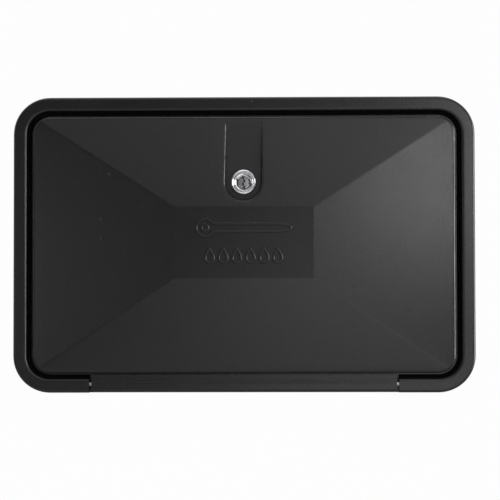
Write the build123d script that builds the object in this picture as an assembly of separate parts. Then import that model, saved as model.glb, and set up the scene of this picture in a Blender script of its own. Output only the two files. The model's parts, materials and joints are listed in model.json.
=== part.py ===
"""Exterior shower compartment for the side wall of a caravan, closed, in millimetres.

A moulded tub with a raised rim is let into the wall. A faceted door drops down on two pins
in the bottom of the rim and is held shut by a key lock. Inside are a two-handle mixing valve,
its hose outlet and a handset in a clip.
X runs to the right, Z up, and Y into the vehicle. The outside of the wall is the plane y = 0,
and the origin is the centre of the screw pattern on that plane.
"""

import os
from math import cos, radians, sin, tan

from build123d import *

# Frame: the flange on the wall, its raised rim and the ledge that takes the screws
frame_width = 324.0
frame_height = 207.5
frame_corner_radius = 26.0
rim_width = 8.1
rim_height = 11.0
rim_wall = 2.2
rim_outer_edge_radius = 2.0
rim_inner_edge_radius = 0.9
rim_inner_draft = 12.5
ledge_thickness = 3.0
ledge_margin = 29.0
screw_hole_radius = 2.25
screw_head_radius = 4.2
screw_head_depth = 1.2
screw_inset = 20.0
middle_screw_spacing = 110.0

# Tub: the space behind the wall
mouth_corner_radius = 12.0
tub_depth = 88.5
tub_wall = 2.5
tub_draft = 2.4
tub_outer_back_radius = 7.0
tub_inner_back_radius = 4.5
dam_width = 2.0
dam_height = 2.5

# Door
door_gap = 4.6
door_edge_height = 1.0
door_back_gap = 1.5
door_skin = 2.6
door_skirt = 2.4
door_lip = 1.0
door_lip_thickness = 1.6
door_edge_radius = 2.0
door_ridge_radius = 1.2
pyramid_height = 8.0
pyramid_over = 0.2
panel_width = 97.5
panel_below_channel = 5.3
panel_foot_margin = 66.15
panel_recess = 0.6
rib_thickness = 1.8
rib_recess = 0.8
land_lip = 1.4
land_lip_height = 1.8

# Door seal
seal_width = 5.6
seal_height = 3.2
seal_clearance = 0.3
seal_edge_chamfer = 1.2

# Lock channel in the door and the cylinder lock
lock_drop = 31.35
channel_floor_rise = 0.4
channel_floor_radius = 12.2
channel_draft = 9.0
channel_floor_thickness = 2.4
channel_wall = 2.2
channel_edge_radius = 1.4
lock_head_radius = 8.75
lock_head_height = 2.4
lock_head_chamfer = 0.7
lock_barrel_radius = 7.9
lock_barrel_flat = 6.8
lock_hole_clearance = 0.1
plug_radius = 6.0
plug_clearance = 0.05
plug_recess = 0.5
plug_boss_radius = 3.7
plug_dish_depth = 0.8
plug_dish_margin = 0.4
keyway_width = 1.2
keyway_steps = 4
keyway_step_height = 2.3
keyway_offset = 0.45
keyway_depth = 9.0
plug_tang = 5.2
lock_washer_thickness = 0.8
lock_washer_radius = 10.2
lock_nut_flats = 21.0
lock_nut_thickness = 4.0
cam_thickness = 2.0
cam_width = 14.0
cam_reach = 27.0
cam_gap = 0.2
cam_strike_gap = 0.8
cam_screw_head_radius = 4.0
cam_screw_head_height = 3.0
cam_screw_radius = 2.0
cam_screw_length = 9.0

# Strike behind the top of the mouth, which the cam turns behind
strike_width = 30.0
strike_drop = 10.5
strike_thickness = 3.0
strike_corner_radius = 3.0
strike_stop_gap = 0.8
strike_stop_thickness = 2.2
strike_stop_depth = 6.0

# Hinge
hinge_inset = 6.25
notch_inset = 10.75
notch_end_inset = 53.5
hinge_side_gap = 1.6
barrel_radius = 4.0
hinge_skin = 2.4
hinge_web_recess = 0.4
leaf_inset = 0.45
leaf_edge_radius = 2.0
leaf_corner_radius = 2.0
knuckle_length = 22.0
hinge_rib_count = 7
hinge_rib_thickness = 2.0
pin_radius = 1.5
pin_clearance = 0.06
pin_length = 26.0
pin_in_lug = 11.0
lug_length = 14.0
pin_end_gap = 0.3

# Mixing valve on the back of the tub
valve_from_right = 91.0
inlet_spacing = 101.6
plate_length = 146.0
plate_height = 40.0
plate_thickness = 8.0
plate_edge_radius = 2.5
bridge_height = 26.0
bridge_thickness = 12.0
bridge_edge_radius = 5.0
tower_radius = 15.0
tower_height = 16.0
spout_radius = 11.0
spout_drop = 20.0
spout_bore = 6.0
shank_shoulder_radius = 10.8
shank_shoulder_spare = 0.5
shank_thread_radius = 10.45
shank_thread_length = 19.0
shank_bore = 6.5
shank_hole_clearance = 0.4
shank_end_chamfer = 1.0
washer_radius = 17.0
washer_thickness = 2.0
nut_radius = 15.0
nut_thickness = 8.0
nut_flange_radius = 17.0
nut_flange_thickness = 2.0
nut_wing_span = 46.0
nut_wing_thickness = 4.5

# Cartridges, stems and knobs
cartridge_radius = 10.0
cartridge_length = 14.0
cartridge_flange_radius = 11.4
cartridge_flange_thickness = 2.0
stem_radius = 4.0
stem_clearance = 0.05
stem_end_gap = 3.0
stem_flat = 3.0
stem_tip_depth = 8.0
seat_radius = 4.0
seat_depth = 4.0
bonnet_flats = 27.0
bonnet_height = 7.0
bonnet_clearance = 1.5
knob_radius = 18.0
knob_gap = 3.0
knob_length = 24.0
knob_edge_radius = 3.0
knob_wall = 2.4
knob_hub_radius = 6.8
knob_hollow_depth = 11.0
knob_flutes = 8
knob_flute_radius = 6.0
knob_flute_bite = 1.7
cap_radius = 8.5
cap_thickness = 2.4
cap_crown = 0.8
cap_slope = 2.2
cap_pocket_depth = 5.4
knob_screw_head_radius = 3.5
knob_screw_head_height = 2.4
knob_screw_radius = 2.0
knob_screw_length = 11.0

# Vacuum breaker and hose outlet under the valve
breaker_radius = 13.5
breaker_height = 15.0
breaker_back_gap = 2.5
breaker_edge_chamfer = 1.2
breaker_bore = 7.0
breaker_slots = 8
breaker_slot_width = 2.4
breaker_slot_height = 7.0
breaker_slot_depth = 2.6
nipple_hex_flats = 24.0
nipple_hex_height = 4.0
nipple_thread_radius = 10.45
nipple_thread_length = 12.0
nipple_bore = 5.5

# Handset, lying along the bottom of the tub
handset_rise = 29.0
handset_standoff = 30.0
head_clearance = 18.0
head_radius = 25.0
head_front_reach = 18.0
head_back_reach = 5.0
head_back_slope = 12.0
head_back_fall = 7.0
head_edge_radius = 1.0
handle_tuck = 7.0
tail_room = 58.0
handle_neck_radius = 9.2
handle_waist_radius = 11.2
handle_grip_radius = 11.5
grip_spare = 3.0
handle_end_radius = 10.4
handle_mid_radius = 11.3
face_radius = 21.6
face_thickness = 2.0
face_seat = 1.0
nozzle_radius = 0.9
nozzle_height = 1.0
nozzle_ring_pitch = 7.2
nozzle_ring_count = 2
nozzle_first_count = 6
ring_inset = 0.6
ring_thickness = 2.6
ring_edge_radius = 0.9
tail_collar_radius = 11.4
tail_collar_length = 4.0
tail_thread_radius = 10.45
tail_thread_length = 13.0
tail_bore = 5.0
tail_bore_depth = 15.0

# Flow button on the handset
pad_from_handle_end = 22.0
pad_length = 32.0
pad_width = 14.0
pad_front_reach = 12.4
track_width = 9.0
track_depth = 2.6
slot_width = 5.6
slot_lip = 1.2
button_travel = 10.0
button_clearance = 0.3
button_foot_length = 12.0
button_cap_length = 11.0
button_cap_width = 10.0
button_cap_height = 2.6
button_cap_corner = 2.0
button_cap_edge = 0.8
button_ridges = 3
button_groove = 1.0
button_groove_depth = 0.7

# Clip that holds the handset
clip_from_tail = 40.0
clip_length = 24.0
clip_wall = 2.5
clip_opening = 96.0
clip_stem_height = 15.0
clip_base_height = 43.0
clip_base_thickness = 3.0
clip_base_corner = 4.0
clip_screw_offset = 17.0
clip_screw_radius = 1.9
clip_screw_length = 8.0
clip_screw_spare = 0.5
clip_screw_head_radius = 3.5
clip_screw_head_height = 2.2
clip_screw_edge_radius = 0.8
boss_radius = 4.6
boss_depth = 8.0

# Frame, mouth and door: sizes that follow from those above
mouth_width = frame_width - 2 * ledge_margin
mouth_height = frame_height - 2 * ledge_margin
tub_floor = tub_depth - tub_wall
door_width = frame_width - 2 * (rim_width + door_gap)
door_height = frame_height - 2 * (rim_width + door_gap)
door_corner_radius = frame_corner_radius - rim_width - door_gap
door_back = -(ledge_thickness + door_back_gap)
door_edge_front = -(rim_height + door_edge_height)
door_bottom = -door_height / 2
face_width = door_width - 2 * door_lip
face_height = door_height - 2 * door_lip
panel_front = door_edge_front - pyramid_height

# Lock, panel and seal: sizes that follow
lock_height = mouth_height / 2 - lock_drop
channel_floor = door_edge_front - channel_floor_rise
channel_back = channel_floor + channel_floor_thickness
lock_front = channel_floor - lock_head_height
plug_face = lock_front + plug_recess
cam_front = strike_thickness + cam_strike_gap
cam_back = cam_front + cam_thickness
barrel_end = cam_front - cam_gap
panel_top = lock_height - channel_floor_radius - panel_below_channel
panel_bottom = panel_foot_margin - face_height / 2
panel_height = panel_top - panel_bottom
panel_rise = (panel_top + panel_bottom) / 2
seal_back = -(ledge_thickness + dam_height) - seal_clearance
land_back = seal_back - seal_height
land_lip_back = land_back + land_lip_height
rib_back = land_back + rib_recess

# Hinge: sizes that follow
hinge_depth = barrel_radius - rim_height
hinge_height = hinge_inset - frame_height / 2
notch_top = notch_inset - frame_height / 2
notch_half_width = frame_width / 2 - notch_end_inset
hinge_half_width = notch_half_width - hinge_side_gap
hinge_web_front = hinge_web_recess - rim_height
leaf_bottom = leaf_inset - frame_height / 2

# Handset and clip: sizes that follow
handset_z = handset_rise - mouth_height / 2
handle_depth = tub_floor - handset_standoff
head_x = head_clearance + head_radius - mouth_width / 2
head_front = handle_depth - head_front_reach
head_back = handle_depth + head_back_reach
handset_face = head_front - face_thickness
handle_left = head_x + head_radius - handle_tuck
handle_right = mouth_width / 2 - tail_room
handle_end = handle_right + tail_collar_length
tail_end = handle_end + tail_thread_length
clip_x = handle_right - clip_from_tail
clip_outer_radius = handle_grip_radius + clip_wall
grip_left = clip_x - clip_length / 2 - grip_spare
grip_right = clip_x + clip_length / 2 + grip_spare
pad_x = handle_left + pad_from_handle_end
pad_front = handle_depth - pad_front_reach
pad_bottom = pad_front + slot_lip
button_start = pad_x - button_travel / 2
track_length = button_foot_length + button_travel + 2 * button_clearance

# Valve: it stands midway between the tub's top and the clip, outlet included
valve_x = mouth_width / 2 - valve_from_right
valve_drop = spout_drop + breaker_height + nipple_hex_height + nipple_thread_length
clip_top = handset_z + clip_outer_radius
valve_z = (mouth_height / 2 + clip_top + valve_drop - plate_height / 2) / 2
inlet_positions = {"hot": valve_x - inlet_spacing / 2, "cold": valve_x + inlet_spacing / 2}
plate_front = tub_floor - plate_thickness
bridge_front = plate_front - bridge_thickness
tower_front = plate_front - tower_height
shank_hole_radius = shank_shoulder_radius + shank_hole_clearance
shank_shoulder_end = tub_depth + washer_thickness + nut_thickness + shank_shoulder_spare
shank_end = shank_shoulder_end + shank_thread_length
cartridge_bottom = tower_front + cartridge_length
shank_bore_bottom = cartridge_bottom + seat_depth
stem_bottom = cartridge_bottom - stem_end_gap
bonnet_front = tower_front - bonnet_height
bonnet_bore = stem_radius + bonnet_clearance
knob_back = bonnet_front - knob_gap
knob_front = knob_back - knob_length
stem_front = knob_front + stem_tip_depth
spout_depth = tub_floor - breaker_radius - breaker_back_gap
spout_bottom = valve_z - spout_drop
breaker_bottom = spout_bottom - breaker_height
nipple_shoulder = breaker_bottom - nipple_hex_height
nipple_end = nipple_shoulder - nipple_thread_length


def facing_out(y):
    """Sketch plane at depth y seen from outside: its axes are X and Z, and it faces -Y."""
    return Plane.XZ.offset(-y)


def slab(sketch, y_back, y_front):
    """Solid with a sketch's outline between two depths."""
    return extrude(facing_out(y_back) * sketch, y_back - y_front)


def rod_y(radius, x, z, y_back, y_front):
    """Round bar along Y."""
    return slab(Pos(x, z) * Circle(radius), y_back, y_front)


def rod_x(radius, x_low, x_high, y, z):
    """Round bar along X."""
    return extrude(Plane((x_low, y, z), z_dir=(1, 0, 0)) * Circle(radius), x_high - x_low)


def rod_z(radius, x, y, z_low, z_high):
    """Round bar along Z."""
    return extrude(Plane((x, y, z_low)) * Circle(radius), z_high - z_low)


def block(x_range, y_range, z_range):
    """Rectangular block between three pairs of limits."""
    sizes = [abs(high - low) for low, high in (x_range, y_range, z_range)]
    middle = [(low + high) / 2 for low, high in (x_range, y_range, z_range)]
    return Pos(*middle) * Box(*sizes)


def frame_outline(inset):
    """Rounded outline of the frame, moved in by a distance."""
    return RectangleRounded(
        frame_width - 2 * inset, frame_height - 2 * inset, frame_corner_radius - inset
    )


def mouth_outline(offset):
    """Rounded outline of the tub's mouth, moved out by a distance."""
    return RectangleRounded(
        mouth_width + 2 * offset, mouth_height + 2 * offset, mouth_corner_radius + offset
    )


def ring_of(make_outline, outer, inner):
    """Band between two offsets of the same outline."""
    return make_outline(outer) - make_outline(inner)


def edges_at_depth(solid, y):
    """Edges that lie wholly in the plane at depth y."""
    return [
        edge
        for edge in solid.edges()
        if abs(edge.bounding_box().min.Y - y) < 1e-3 and abs(edge.bounding_box().max.Y - y) < 1e-3
    ]


def frame_rim():
    """Flange with a raised hollow rim, filled in at the two hinge lugs."""
    body = slab(frame_outline(0), 0, -rim_height)
    body = fillet(edges_at_depth(body, -rim_height), rim_outer_edge_radius)
    pocket_depth = rim_height - ledge_thickness
    foot_inset = rim_width + pocket_depth * tan(radians(rim_inner_draft))
    pocket = loft(
        [
            facing_out(-ledge_thickness) * frame_outline(foot_inset),
            facing_out(-rim_height) * frame_outline(rim_width),
        ],
        ruled=True,
    )
    body -= pocket
    front_face = body.faces().filter_by(Plane.XZ).sort_by(Axis.Y)[0]
    body = fillet(front_face.inner_wires()[0].edges(), rim_inner_edge_radius)

    channel = slab(
        frame_outline(rim_wall) - frame_outline(rim_width - rim_wall),
        0,
        -(rim_height - rim_wall),
    )
    for side in (-1, 1):
        lug = (side * notch_half_width, side * (notch_half_width + lug_length))
        channel -= block(lug, (-rim_height, 0), (-frame_height / 2, notch_top))
    body -= channel
    notch = (-notch_half_width, notch_half_width)
    body -= block(notch, (-rim_height - 1, 1), (-frame_height / 2 - 1, notch_top))
    for side in (-1, 1):
        hole_end = side * (notch_half_width + pin_in_lug + pin_end_gap)
        low, high = sorted((side * (notch_half_width - 1), hole_end))
        body -= rod_x(pin_radius, low, high, hinge_depth, hinge_height)
    return body


def screw_places():
    """Centres of the flange's screw holes, seen from outside."""
    z = frame_height / 2 - screw_inset
    corners = frame_width / 2 - screw_inset
    middle = middle_screw_spacing / 2
    return [(x, s * z) for x in (-corners, -middle, middle, corners) for s in (-1, 1)]


def tub():
    """Drafted tub with rounded back edges, as a solid and the space inside it."""
    back_outline = mouth_outline(tub_wall - tub_draft)
    outer = loft(
        [facing_out(0) * mouth_outline(tub_wall), facing_out(tub_depth) * back_outline], ruled=True
    )
    outer = fillet(edges_at_depth(outer, tub_depth), tub_outer_back_radius)
    inner_draft = tub_draft * tub_floor / tub_depth
    inner = loft(
        [facing_out(0) * mouth_outline(0), facing_out(tub_floor) * mouth_outline(-inner_draft)],
        ruled=True,
    )
    inner = fillet(edges_at_depth(inner, tub_floor), tub_inner_back_radius)
    return outer, inner


def lock_strike():
    """Strike welded under the mouth's top edge: a tongue, and the rib that stops the cam."""
    top = mouth_height / 2 + tub_wall / 2
    bottom = mouth_height / 2 - strike_drop
    tongue = Pos(0, (top + bottom) / 2) * RectangleRounded(
        strike_width, top - bottom, strike_corner_radius
    )
    tongue += Pos(0, top - strike_corner_radius) * Rectangle(strike_width, strike_corner_radius * 2)
    piece = slab(tongue, strike_thickness, 0)
    stop_left = cam_width / 2 + strike_stop_gap
    piece += block(
        (stop_left, stop_left + strike_stop_thickness),
        (strike_thickness, strike_thickness + strike_stop_depth),
        (bottom + strike_corner_radius, top),
    )
    inside_tub = tub()[1]
    return piece & inside_tub


def box_shell():
    """Tub, ledge and rim in one moulding."""
    outer, inner = tub()
    shell = frame_rim() + outer
    dam = ring_of(mouth_outline, dam_width, 0)
    shell += slab(dam, -ledge_thickness, -ledge_thickness - dam_height)
    for side in (-1, 1):
        z = handset_z + side * clip_screw_offset
        shell += rod_y(boss_radius, clip_x, z, tub_depth + boss_depth, tub_floor)
    shell -= inner
    shell -= slab(mouth_outline(0), 0.5, -ledge_thickness - dam_height - 1)
    for x, z in screw_places():
        shell -= rod_y(screw_hole_radius, x, z, 1, -ledge_thickness - 1)
        head = facing_out(-ledge_thickness) * (Pos(x, z) * Circle(screw_head_radius))
        seat = facing_out(screw_head_depth - ledge_thickness) * (
            Pos(x, z) * Circle(screw_hole_radius)
        )
        shell -= loft([seat, head], ruled=True)
    for x in inlet_positions.values():
        shell -= rod_y(shank_hole_radius, x, valve_z, tub_depth + 1, tub_floor - 1)
    for side in (-1, 1):
        z = handset_z + side * clip_screw_offset
        shell -= rod_y(clip_screw_radius, clip_x, z, tub_floor + clip_screw_length, tub_floor - 1)
    return shell


def door_outline(inset):
    """Rounded outline of the door, moved in by a distance."""
    return RectangleRounded(
        door_width - 2 * inset, door_height - 2 * inset, door_corner_radius - inset
    )


def pyramid_section(share, shift):
    """Rectangle across the face's pyramid, at a share of the way from its foot to the panel."""
    width = face_width + (panel_width - face_width) * share
    height = face_height + (panel_height - face_height) * share
    depth = door_edge_front - pyramid_height * share + shift
    outline = RectangleRounded(width, height, door_ridge_radius)
    return facing_out(depth) * (Pos(0, panel_rise * share) * outline)


def pyramid_block(shift):
    """Block whose front is the pyramid of the door's face, moved back by a distance."""
    top_share = 1 + pyramid_over / pyramid_height
    pyramid = loft([pyramid_section(0, shift), pyramid_section(top_share, shift)], ruled=True)
    return pyramid + slab(Rectangle(face_width, face_height), shift, door_edge_front + shift)


def channel_shape(floor_depth, grow):
    """Drafted U-shaped channel from the lock to beyond the door's top edge."""
    front_depth = panel_front - 2
    top = door_height / 2 + channel_floor_radius

    def outline(y):
        radius = channel_floor_radius + grow + (floor_depth - y) * tan(radians(channel_draft))
        sides = Pos(0, (lock_height + top) / 2) * Rectangle(2 * radius, top - lock_height)
        return facing_out(y) * (sides + Pos(0, lock_height) * Circle(radius))

    return loft([outline(floor_depth), outline(front_depth)], ruled=True)


def door_ribs():
    """Stiffening ribs behind the face: a frame round the panel and one to each corner."""
    middle = Pos(0, panel_rise)
    frame = middle * Rectangle(panel_width, panel_height) - middle * Rectangle(
        panel_width - 2 * rib_thickness, panel_height - 2 * rib_thickness
    )
    ribs = slab(frame, rib_back, panel_front)
    for side_x in (-1, 1):
        for side_z in (-1, 1):
            inner = Vector(
                side_x * (panel_width - rib_thickness) / 2,
                side_z * (panel_height - rib_thickness) / 2 + panel_rise,
            )
            outer = Vector(side_x * door_width / 2, side_z * door_height / 2)
            run = outer - inner
            middle = (inner + outer) / 2
            angle = run.get_signed_angle(Vector(1, 0, 0), Vector(0, 0, -1))
            bar = Pos(middle.X, middle.Y) * Rot(0, 0, angle) * Rectangle(run.length, rib_thickness)
            ribs += slab(bar, rib_back, panel_front)
    inside_seal = mouth_outline((dam_width - seal_width) / 2)
    return ribs & slab(inside_seal, rib_back, panel_front)


def seal_land():
    """Raised ring that the seal is stuck to, with a low lip each side of it."""
    middle = dam_width / 2
    half = seal_width / 2
    lips = ring_of(mouth_outline, middle + half + land_lip, middle + half)
    lips += ring_of(mouth_outline, middle - half, middle - half - land_lip)
    land = ring_of(mouth_outline, middle + half, middle - half)
    return slab(lips, land_lip_back, panel_front) + slab(land, land_back, panel_front)


def hinge_leaf():
    """Lower edge of the door: a skin with a barrel, ribbed behind, with a knuckle each end."""
    profile = Plane.YZ * (
        Pos(hinge_depth, hinge_height) * Circle(barrel_radius)
        + Pos((hinge_web_front + door_back) / 2, (door_bottom + hinge_height) / 2)
        * Rectangle(door_back - hinge_web_front, door_bottom - hinge_height)
    )
    lip_front = hinge_depth - barrel_radius
    lip_back = lip_front + hinge_skin
    lip = Pos((lip_front + lip_back) / 2, (hinge_height + leaf_bottom) / 2) * Rectangle(
        hinge_skin, hinge_height - leaf_bottom
    )
    corner = lip.vertices().filter_by(lambda v: v.Y < leaf_bottom + 0.1).sort_by(Axis.X)[0]
    lip = fillet(corner, leaf_edge_radius)
    profile += Plane.YZ * lip
    leaf = extrude(profile, hinge_half_width, both=True)
    rounded = RectangleRounded(
        2 * hinge_half_width, 2 * (door_bottom - leaf_bottom), leaf_corner_radius
    )
    leaf &= slab(Pos(0, door_bottom) * rounded, 0, -rim_height)

    bay_limit = hinge_half_width - knuckle_length
    bay_pitch = (2 * bay_limit + hinge_rib_thickness) / (hinge_rib_count + 1)
    for number in range(hinge_rib_count + 1):
        left = -bay_limit + number * bay_pitch
        leaf -= block(
            (left, left + bay_pitch - hinge_rib_thickness),
            (lip_back, 0),
            (leaf_bottom - 1, door_bottom),
        )
    for side in (-1, 1):
        inner_end = side * (notch_half_width + pin_in_lug - pin_length - pin_end_gap)
        low, high = sorted((inner_end, side * (hinge_half_width + 1)))
        leaf -= rod_x(pin_radius + pin_clearance, low, high, hinge_depth, hinge_height)
    return leaf


def double_d(radius, flat):
    """Circle with two flats, left and right."""
    return Circle(radius) & Rectangle(2 * flat, 2 * radius)


def door_panel():
    """Faceted door moulding with its skirt, lock channel, ribs, seal land and hinge leaf."""
    body = slab(door_outline(door_lip), door_back, panel_front - pyramid_height)
    body &= pyramid_block(0)
    outer_edges = [
        edge
        for edge in body.edges()
        if edge.bounding_box().min.Y > door_edge_front - door_edge_height
        and edge.bounding_box().max.Y < door_edge_front + 0.1
    ]
    body = fillet(outer_edges, door_edge_radius)

    body -= channel_shape(channel_floor, 0)
    rim_edges = [
        edge
        for edge in body.edges()
        if abs(edge.center().X) < 2 * channel_floor_radius
        and edge.center().Z > lock_height - 2 * channel_floor_radius
        and edge.bounding_box().min.Y < channel_floor - 2 * channel_edge_radius
        and edge.bounding_box().size.Y > door_edge_height
    ]
    body = fillet(rim_edges, channel_edge_radius)
    recess = Pos(0, panel_rise) * Rectangle(panel_width, panel_height)
    body -= slab(recess, panel_front + panel_recess, panel_front - 2)
    body += slab(door_outline(0), door_back, door_back - door_lip_thickness)

    behind_panel = slab(Rectangle(door_width, door_height), 0, panel_front + panel_recess + door_skin)
    inside = slab(door_outline(door_lip + door_skirt), 0, panel_front)
    cavity = inside & pyramid_block(door_skin) & behind_panel
    keep = channel_shape(channel_back, channel_wall) + seal_land() + door_ribs()
    body -= cavity - keep
    lock_hole = double_d(
        lock_barrel_radius + lock_hole_clearance, lock_barrel_flat + lock_hole_clearance
    )
    body -= slab(Pos(0, lock_height) * lock_hole, door_back, panel_front)
    return body + hinge_leaf()


def door_seal():
    """Soft ring on the door that closes on the dam round the mouth."""
    middle = dam_width / 2
    half = seal_width / 2
    ring = slab(ring_of(mouth_outline, middle + half, middle - half), seal_back, land_back)
    return chamfer(edges_at_depth(ring, seal_back), seal_edge_chamfer)


def hinge_pin(side):
    """Steel pin, pressed into the frame's lug and running in the door's knuckle."""
    outer_end = side * (notch_half_width + pin_in_lug)
    low, high = sorted((outer_end, outer_end - side * pin_length))
    return rod_x(pin_radius, low, high, hinge_depth, hinge_height)


def lock_barrel():
    """Plated lock body: round bezel outside, threaded barrel with two flats through the door."""
    head = rod_y(lock_head_radius, 0, lock_height, channel_floor, lock_front)
    head = chamfer(edges_at_depth(head, lock_front), lock_head_chamfer)
    barrel = slab(
        Pos(0, lock_height) * double_d(lock_barrel_radius, lock_barrel_flat),
        barrel_end,
        channel_floor,
    )
    bore = rod_y(plug_radius + plug_clearance, 0, lock_height, barrel_end + 1, lock_front - 1)
    return head + barrel - bore


def keyway():
    """Zigzag slot for the key: short upright steps, set to the left and right in turn."""
    slot = Sketch()
    bottom = lock_height - keyway_steps * keyway_step_height / 2
    for number in range(keyway_steps):
        x = keyway_offset * (-1) ** number
        z = bottom + (number + 0.5) * keyway_step_height
        slot += Pos(x, z) * Rectangle(keyway_width, keyway_step_height)
    return slot


def lock_plug():
    """Turning core with a dished face, a keyway and a square tang for the cam."""
    plug = rod_y(plug_radius, 0, lock_height, barrel_end, plug_face)
    dish_floor = plug_face + plug_dish_depth
    dish = facing_out(dish_floor) * (Pos(0, lock_height) * Circle(plug_boss_radius))
    dish_rim = facing_out(plug_face) * (
        Pos(0, lock_height) * Circle(plug_radius - plug_dish_margin)
    )
    boss = rod_y(plug_boss_radius, 0, lock_height, dish_floor, plug_face)
    plug -= loft([dish, dish_rim], ruled=True) - boss
    plug += slab(Pos(0, lock_height) * Rectangle(plug_tang, plug_tang), cam_back, barrel_end)
    plug -= slab(keyway(), plug_face + keyway_depth, plug_face)
    tapped_end = cam_back - cam_screw_length
    return plug - rod_y(cam_screw_radius, 0, lock_height, cam_back, tapped_end)


def lock_cam():
    """Flat tongue on the plug's tang, lying to the left when the lock is open."""
    bar = Pos(-cam_reach / 2, lock_height) * Rectangle(cam_reach, cam_width)
    corners = bar.vertices().group_by(Axis.X)[0]
    bar = fillet(corners, cam_width * 0.45)
    bar += Pos(0, lock_height) * Circle(cam_width / 2)
    bar -= Pos(0, lock_height) * Rectangle(plug_tang, plug_tang)
    return slab(bar, cam_back, cam_front)


def cam_screw():
    """Screw that holds the cam on the tang."""
    head = rod_y(cam_screw_head_radius, 0, lock_height, cam_back + cam_screw_head_height, cam_back)
    head = fillet(edges_at_depth(head, cam_back + cam_screw_head_height), 1.0)
    return head + rod_y(cam_screw_radius, 0, lock_height, cam_back, cam_back - cam_screw_length)


def lock_washer():
    """Thin washer between the lock nut and the door."""
    back = channel_back
    disc = Circle(lock_washer_radius) - double_d(lock_barrel_radius, lock_barrel_flat)
    return slab(Pos(0, lock_height) * disc, back + lock_washer_thickness, back)


def lock_nut():
    """Hexagon nut that clamps the lock in the door."""
    front = channel_back + lock_washer_thickness
    hexagon = RegularPolygon(lock_nut_flats / 2, 6, major_radius=False)
    nut = slab(Pos(0, lock_height) * hexagon, front + lock_nut_thickness, front)
    return nut - rod_y(lock_barrel_radius, 0, lock_height, front + lock_nut_thickness, front)


def valve_body():
    """One-piece valve: wall plate, bridge, two towers, spout and two inlet shanks."""
    middle = Pos(valve_x, valve_z)
    plate = slab(middle * SlotOverall(plate_length, plate_height), tub_floor, plate_front)
    plate = fillet(edges_at_depth(plate, plate_front), plate_edge_radius)
    bridge = slab(
        middle * SlotOverall(inlet_spacing + bridge_height, bridge_height),
        plate_front,
        bridge_front,
    )
    bridge = fillet(edges_at_depth(bridge, bridge_front), bridge_edge_radius)
    body = plate + bridge
    for x in inlet_positions.values():
        body += rod_y(tower_radius, x, valve_z, plate_front, tower_front)
        body += rod_y(shank_shoulder_radius, x, valve_z, shank_shoulder_end, tub_floor)
        shank = rod_y(shank_thread_radius, x, valve_z, shank_end, shank_shoulder_end)
        body += chamfer(edges_at_depth(shank, shank_end), shank_end_chamfer)
    body += rod_z(spout_radius, valve_x, spout_depth, spout_bottom, valve_z)
    for x in inlet_positions.values():
        body -= rod_y(shank_bore, x, valve_z, shank_end + 1, shank_bore_bottom)
        body -= rod_y(seat_radius, x, valve_z, shank_bore_bottom, cartridge_bottom)
        body -= rod_y(cartridge_radius, x, valve_z, cartridge_bottom, tower_front)
    body -= rod_x(
        seat_radius, inlet_positions["hot"], inlet_positions["cold"], spout_depth, valve_z
    )
    return body - rod_z(spout_bore, valve_x, spout_depth, spout_bottom, valve_z)


def shank_washer(x):
    """Rubber washer between the back of the tub and the shank nut."""
    ring = Circle(washer_radius) - Circle(shank_shoulder_radius)
    return slab(Pos(x, valve_z) * ring, tub_depth + washer_thickness, tub_depth)


def shank_nut(x):
    """Moulded wing nut that pulls the valve against the back of the tub."""
    front = tub_depth + washer_thickness
    back = front + nut_thickness
    nut = rod_y(nut_radius, x, valve_z, back, front)
    nut += rod_y(nut_flange_radius, x, valve_z, front + nut_flange_thickness, front)
    wings = Pos(x, valve_z) * SlotOverall(nut_wing_span, nut_wing_thickness)
    nut += slab(wings, back, front)
    return nut - rod_y(shank_shoulder_radius, x, valve_z, back, front)


def cartridge(x):
    """Valve cartridge seated in the tower, bored for the stem."""
    flange_front = tower_front - cartridge_flange_thickness
    body = rod_y(cartridge_radius, x, valve_z, cartridge_bottom, tower_front)
    body += rod_y(cartridge_flange_radius, x, valve_z, tower_front, flange_front)
    body -= rod_y(stem_radius + stem_clearance, x, valve_z, cartridge_bottom - 1, flange_front - 1)
    return body - rod_y(seat_radius - 1, x, valve_z, cartridge_bottom, cartridge_bottom - 1)


def bonnet_nut(x):
    """Hexagon nut over the cartridge's flange."""
    hexagon = Pos(x, valve_z) * RegularPolygon(bonnet_flats / 2, 6, major_radius=False)
    nut = slab(hexagon, tower_front, bonnet_front)
    flange_front = tower_front - cartridge_flange_thickness
    nut -= rod_y(cartridge_flange_radius, x, valve_z, tower_front, flange_front)
    return nut - rod_y(bonnet_bore, x, valve_z, flange_front, bonnet_front)


def stem_section(x):
    """Stem section inside the knob, with one flat."""
    flat = Rectangle(2 * stem_radius, stem_radius + stem_flat)
    return Pos(x, valve_z) * (Circle(stem_radius) & Pos(0, (stem_flat - stem_radius) / 2) * flat)


def valve_stem(x):
    """Stem that turns in the cartridge and carries the knob."""
    stem = rod_y(stem_radius, x, valve_z, stem_bottom, knob_back - 1)
    stem += slab(stem_section(x), knob_back - 1, stem_front)
    return stem - rod_y(knob_screw_radius, x, valve_z, stem_front + knob_screw_length, stem_front)


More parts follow.
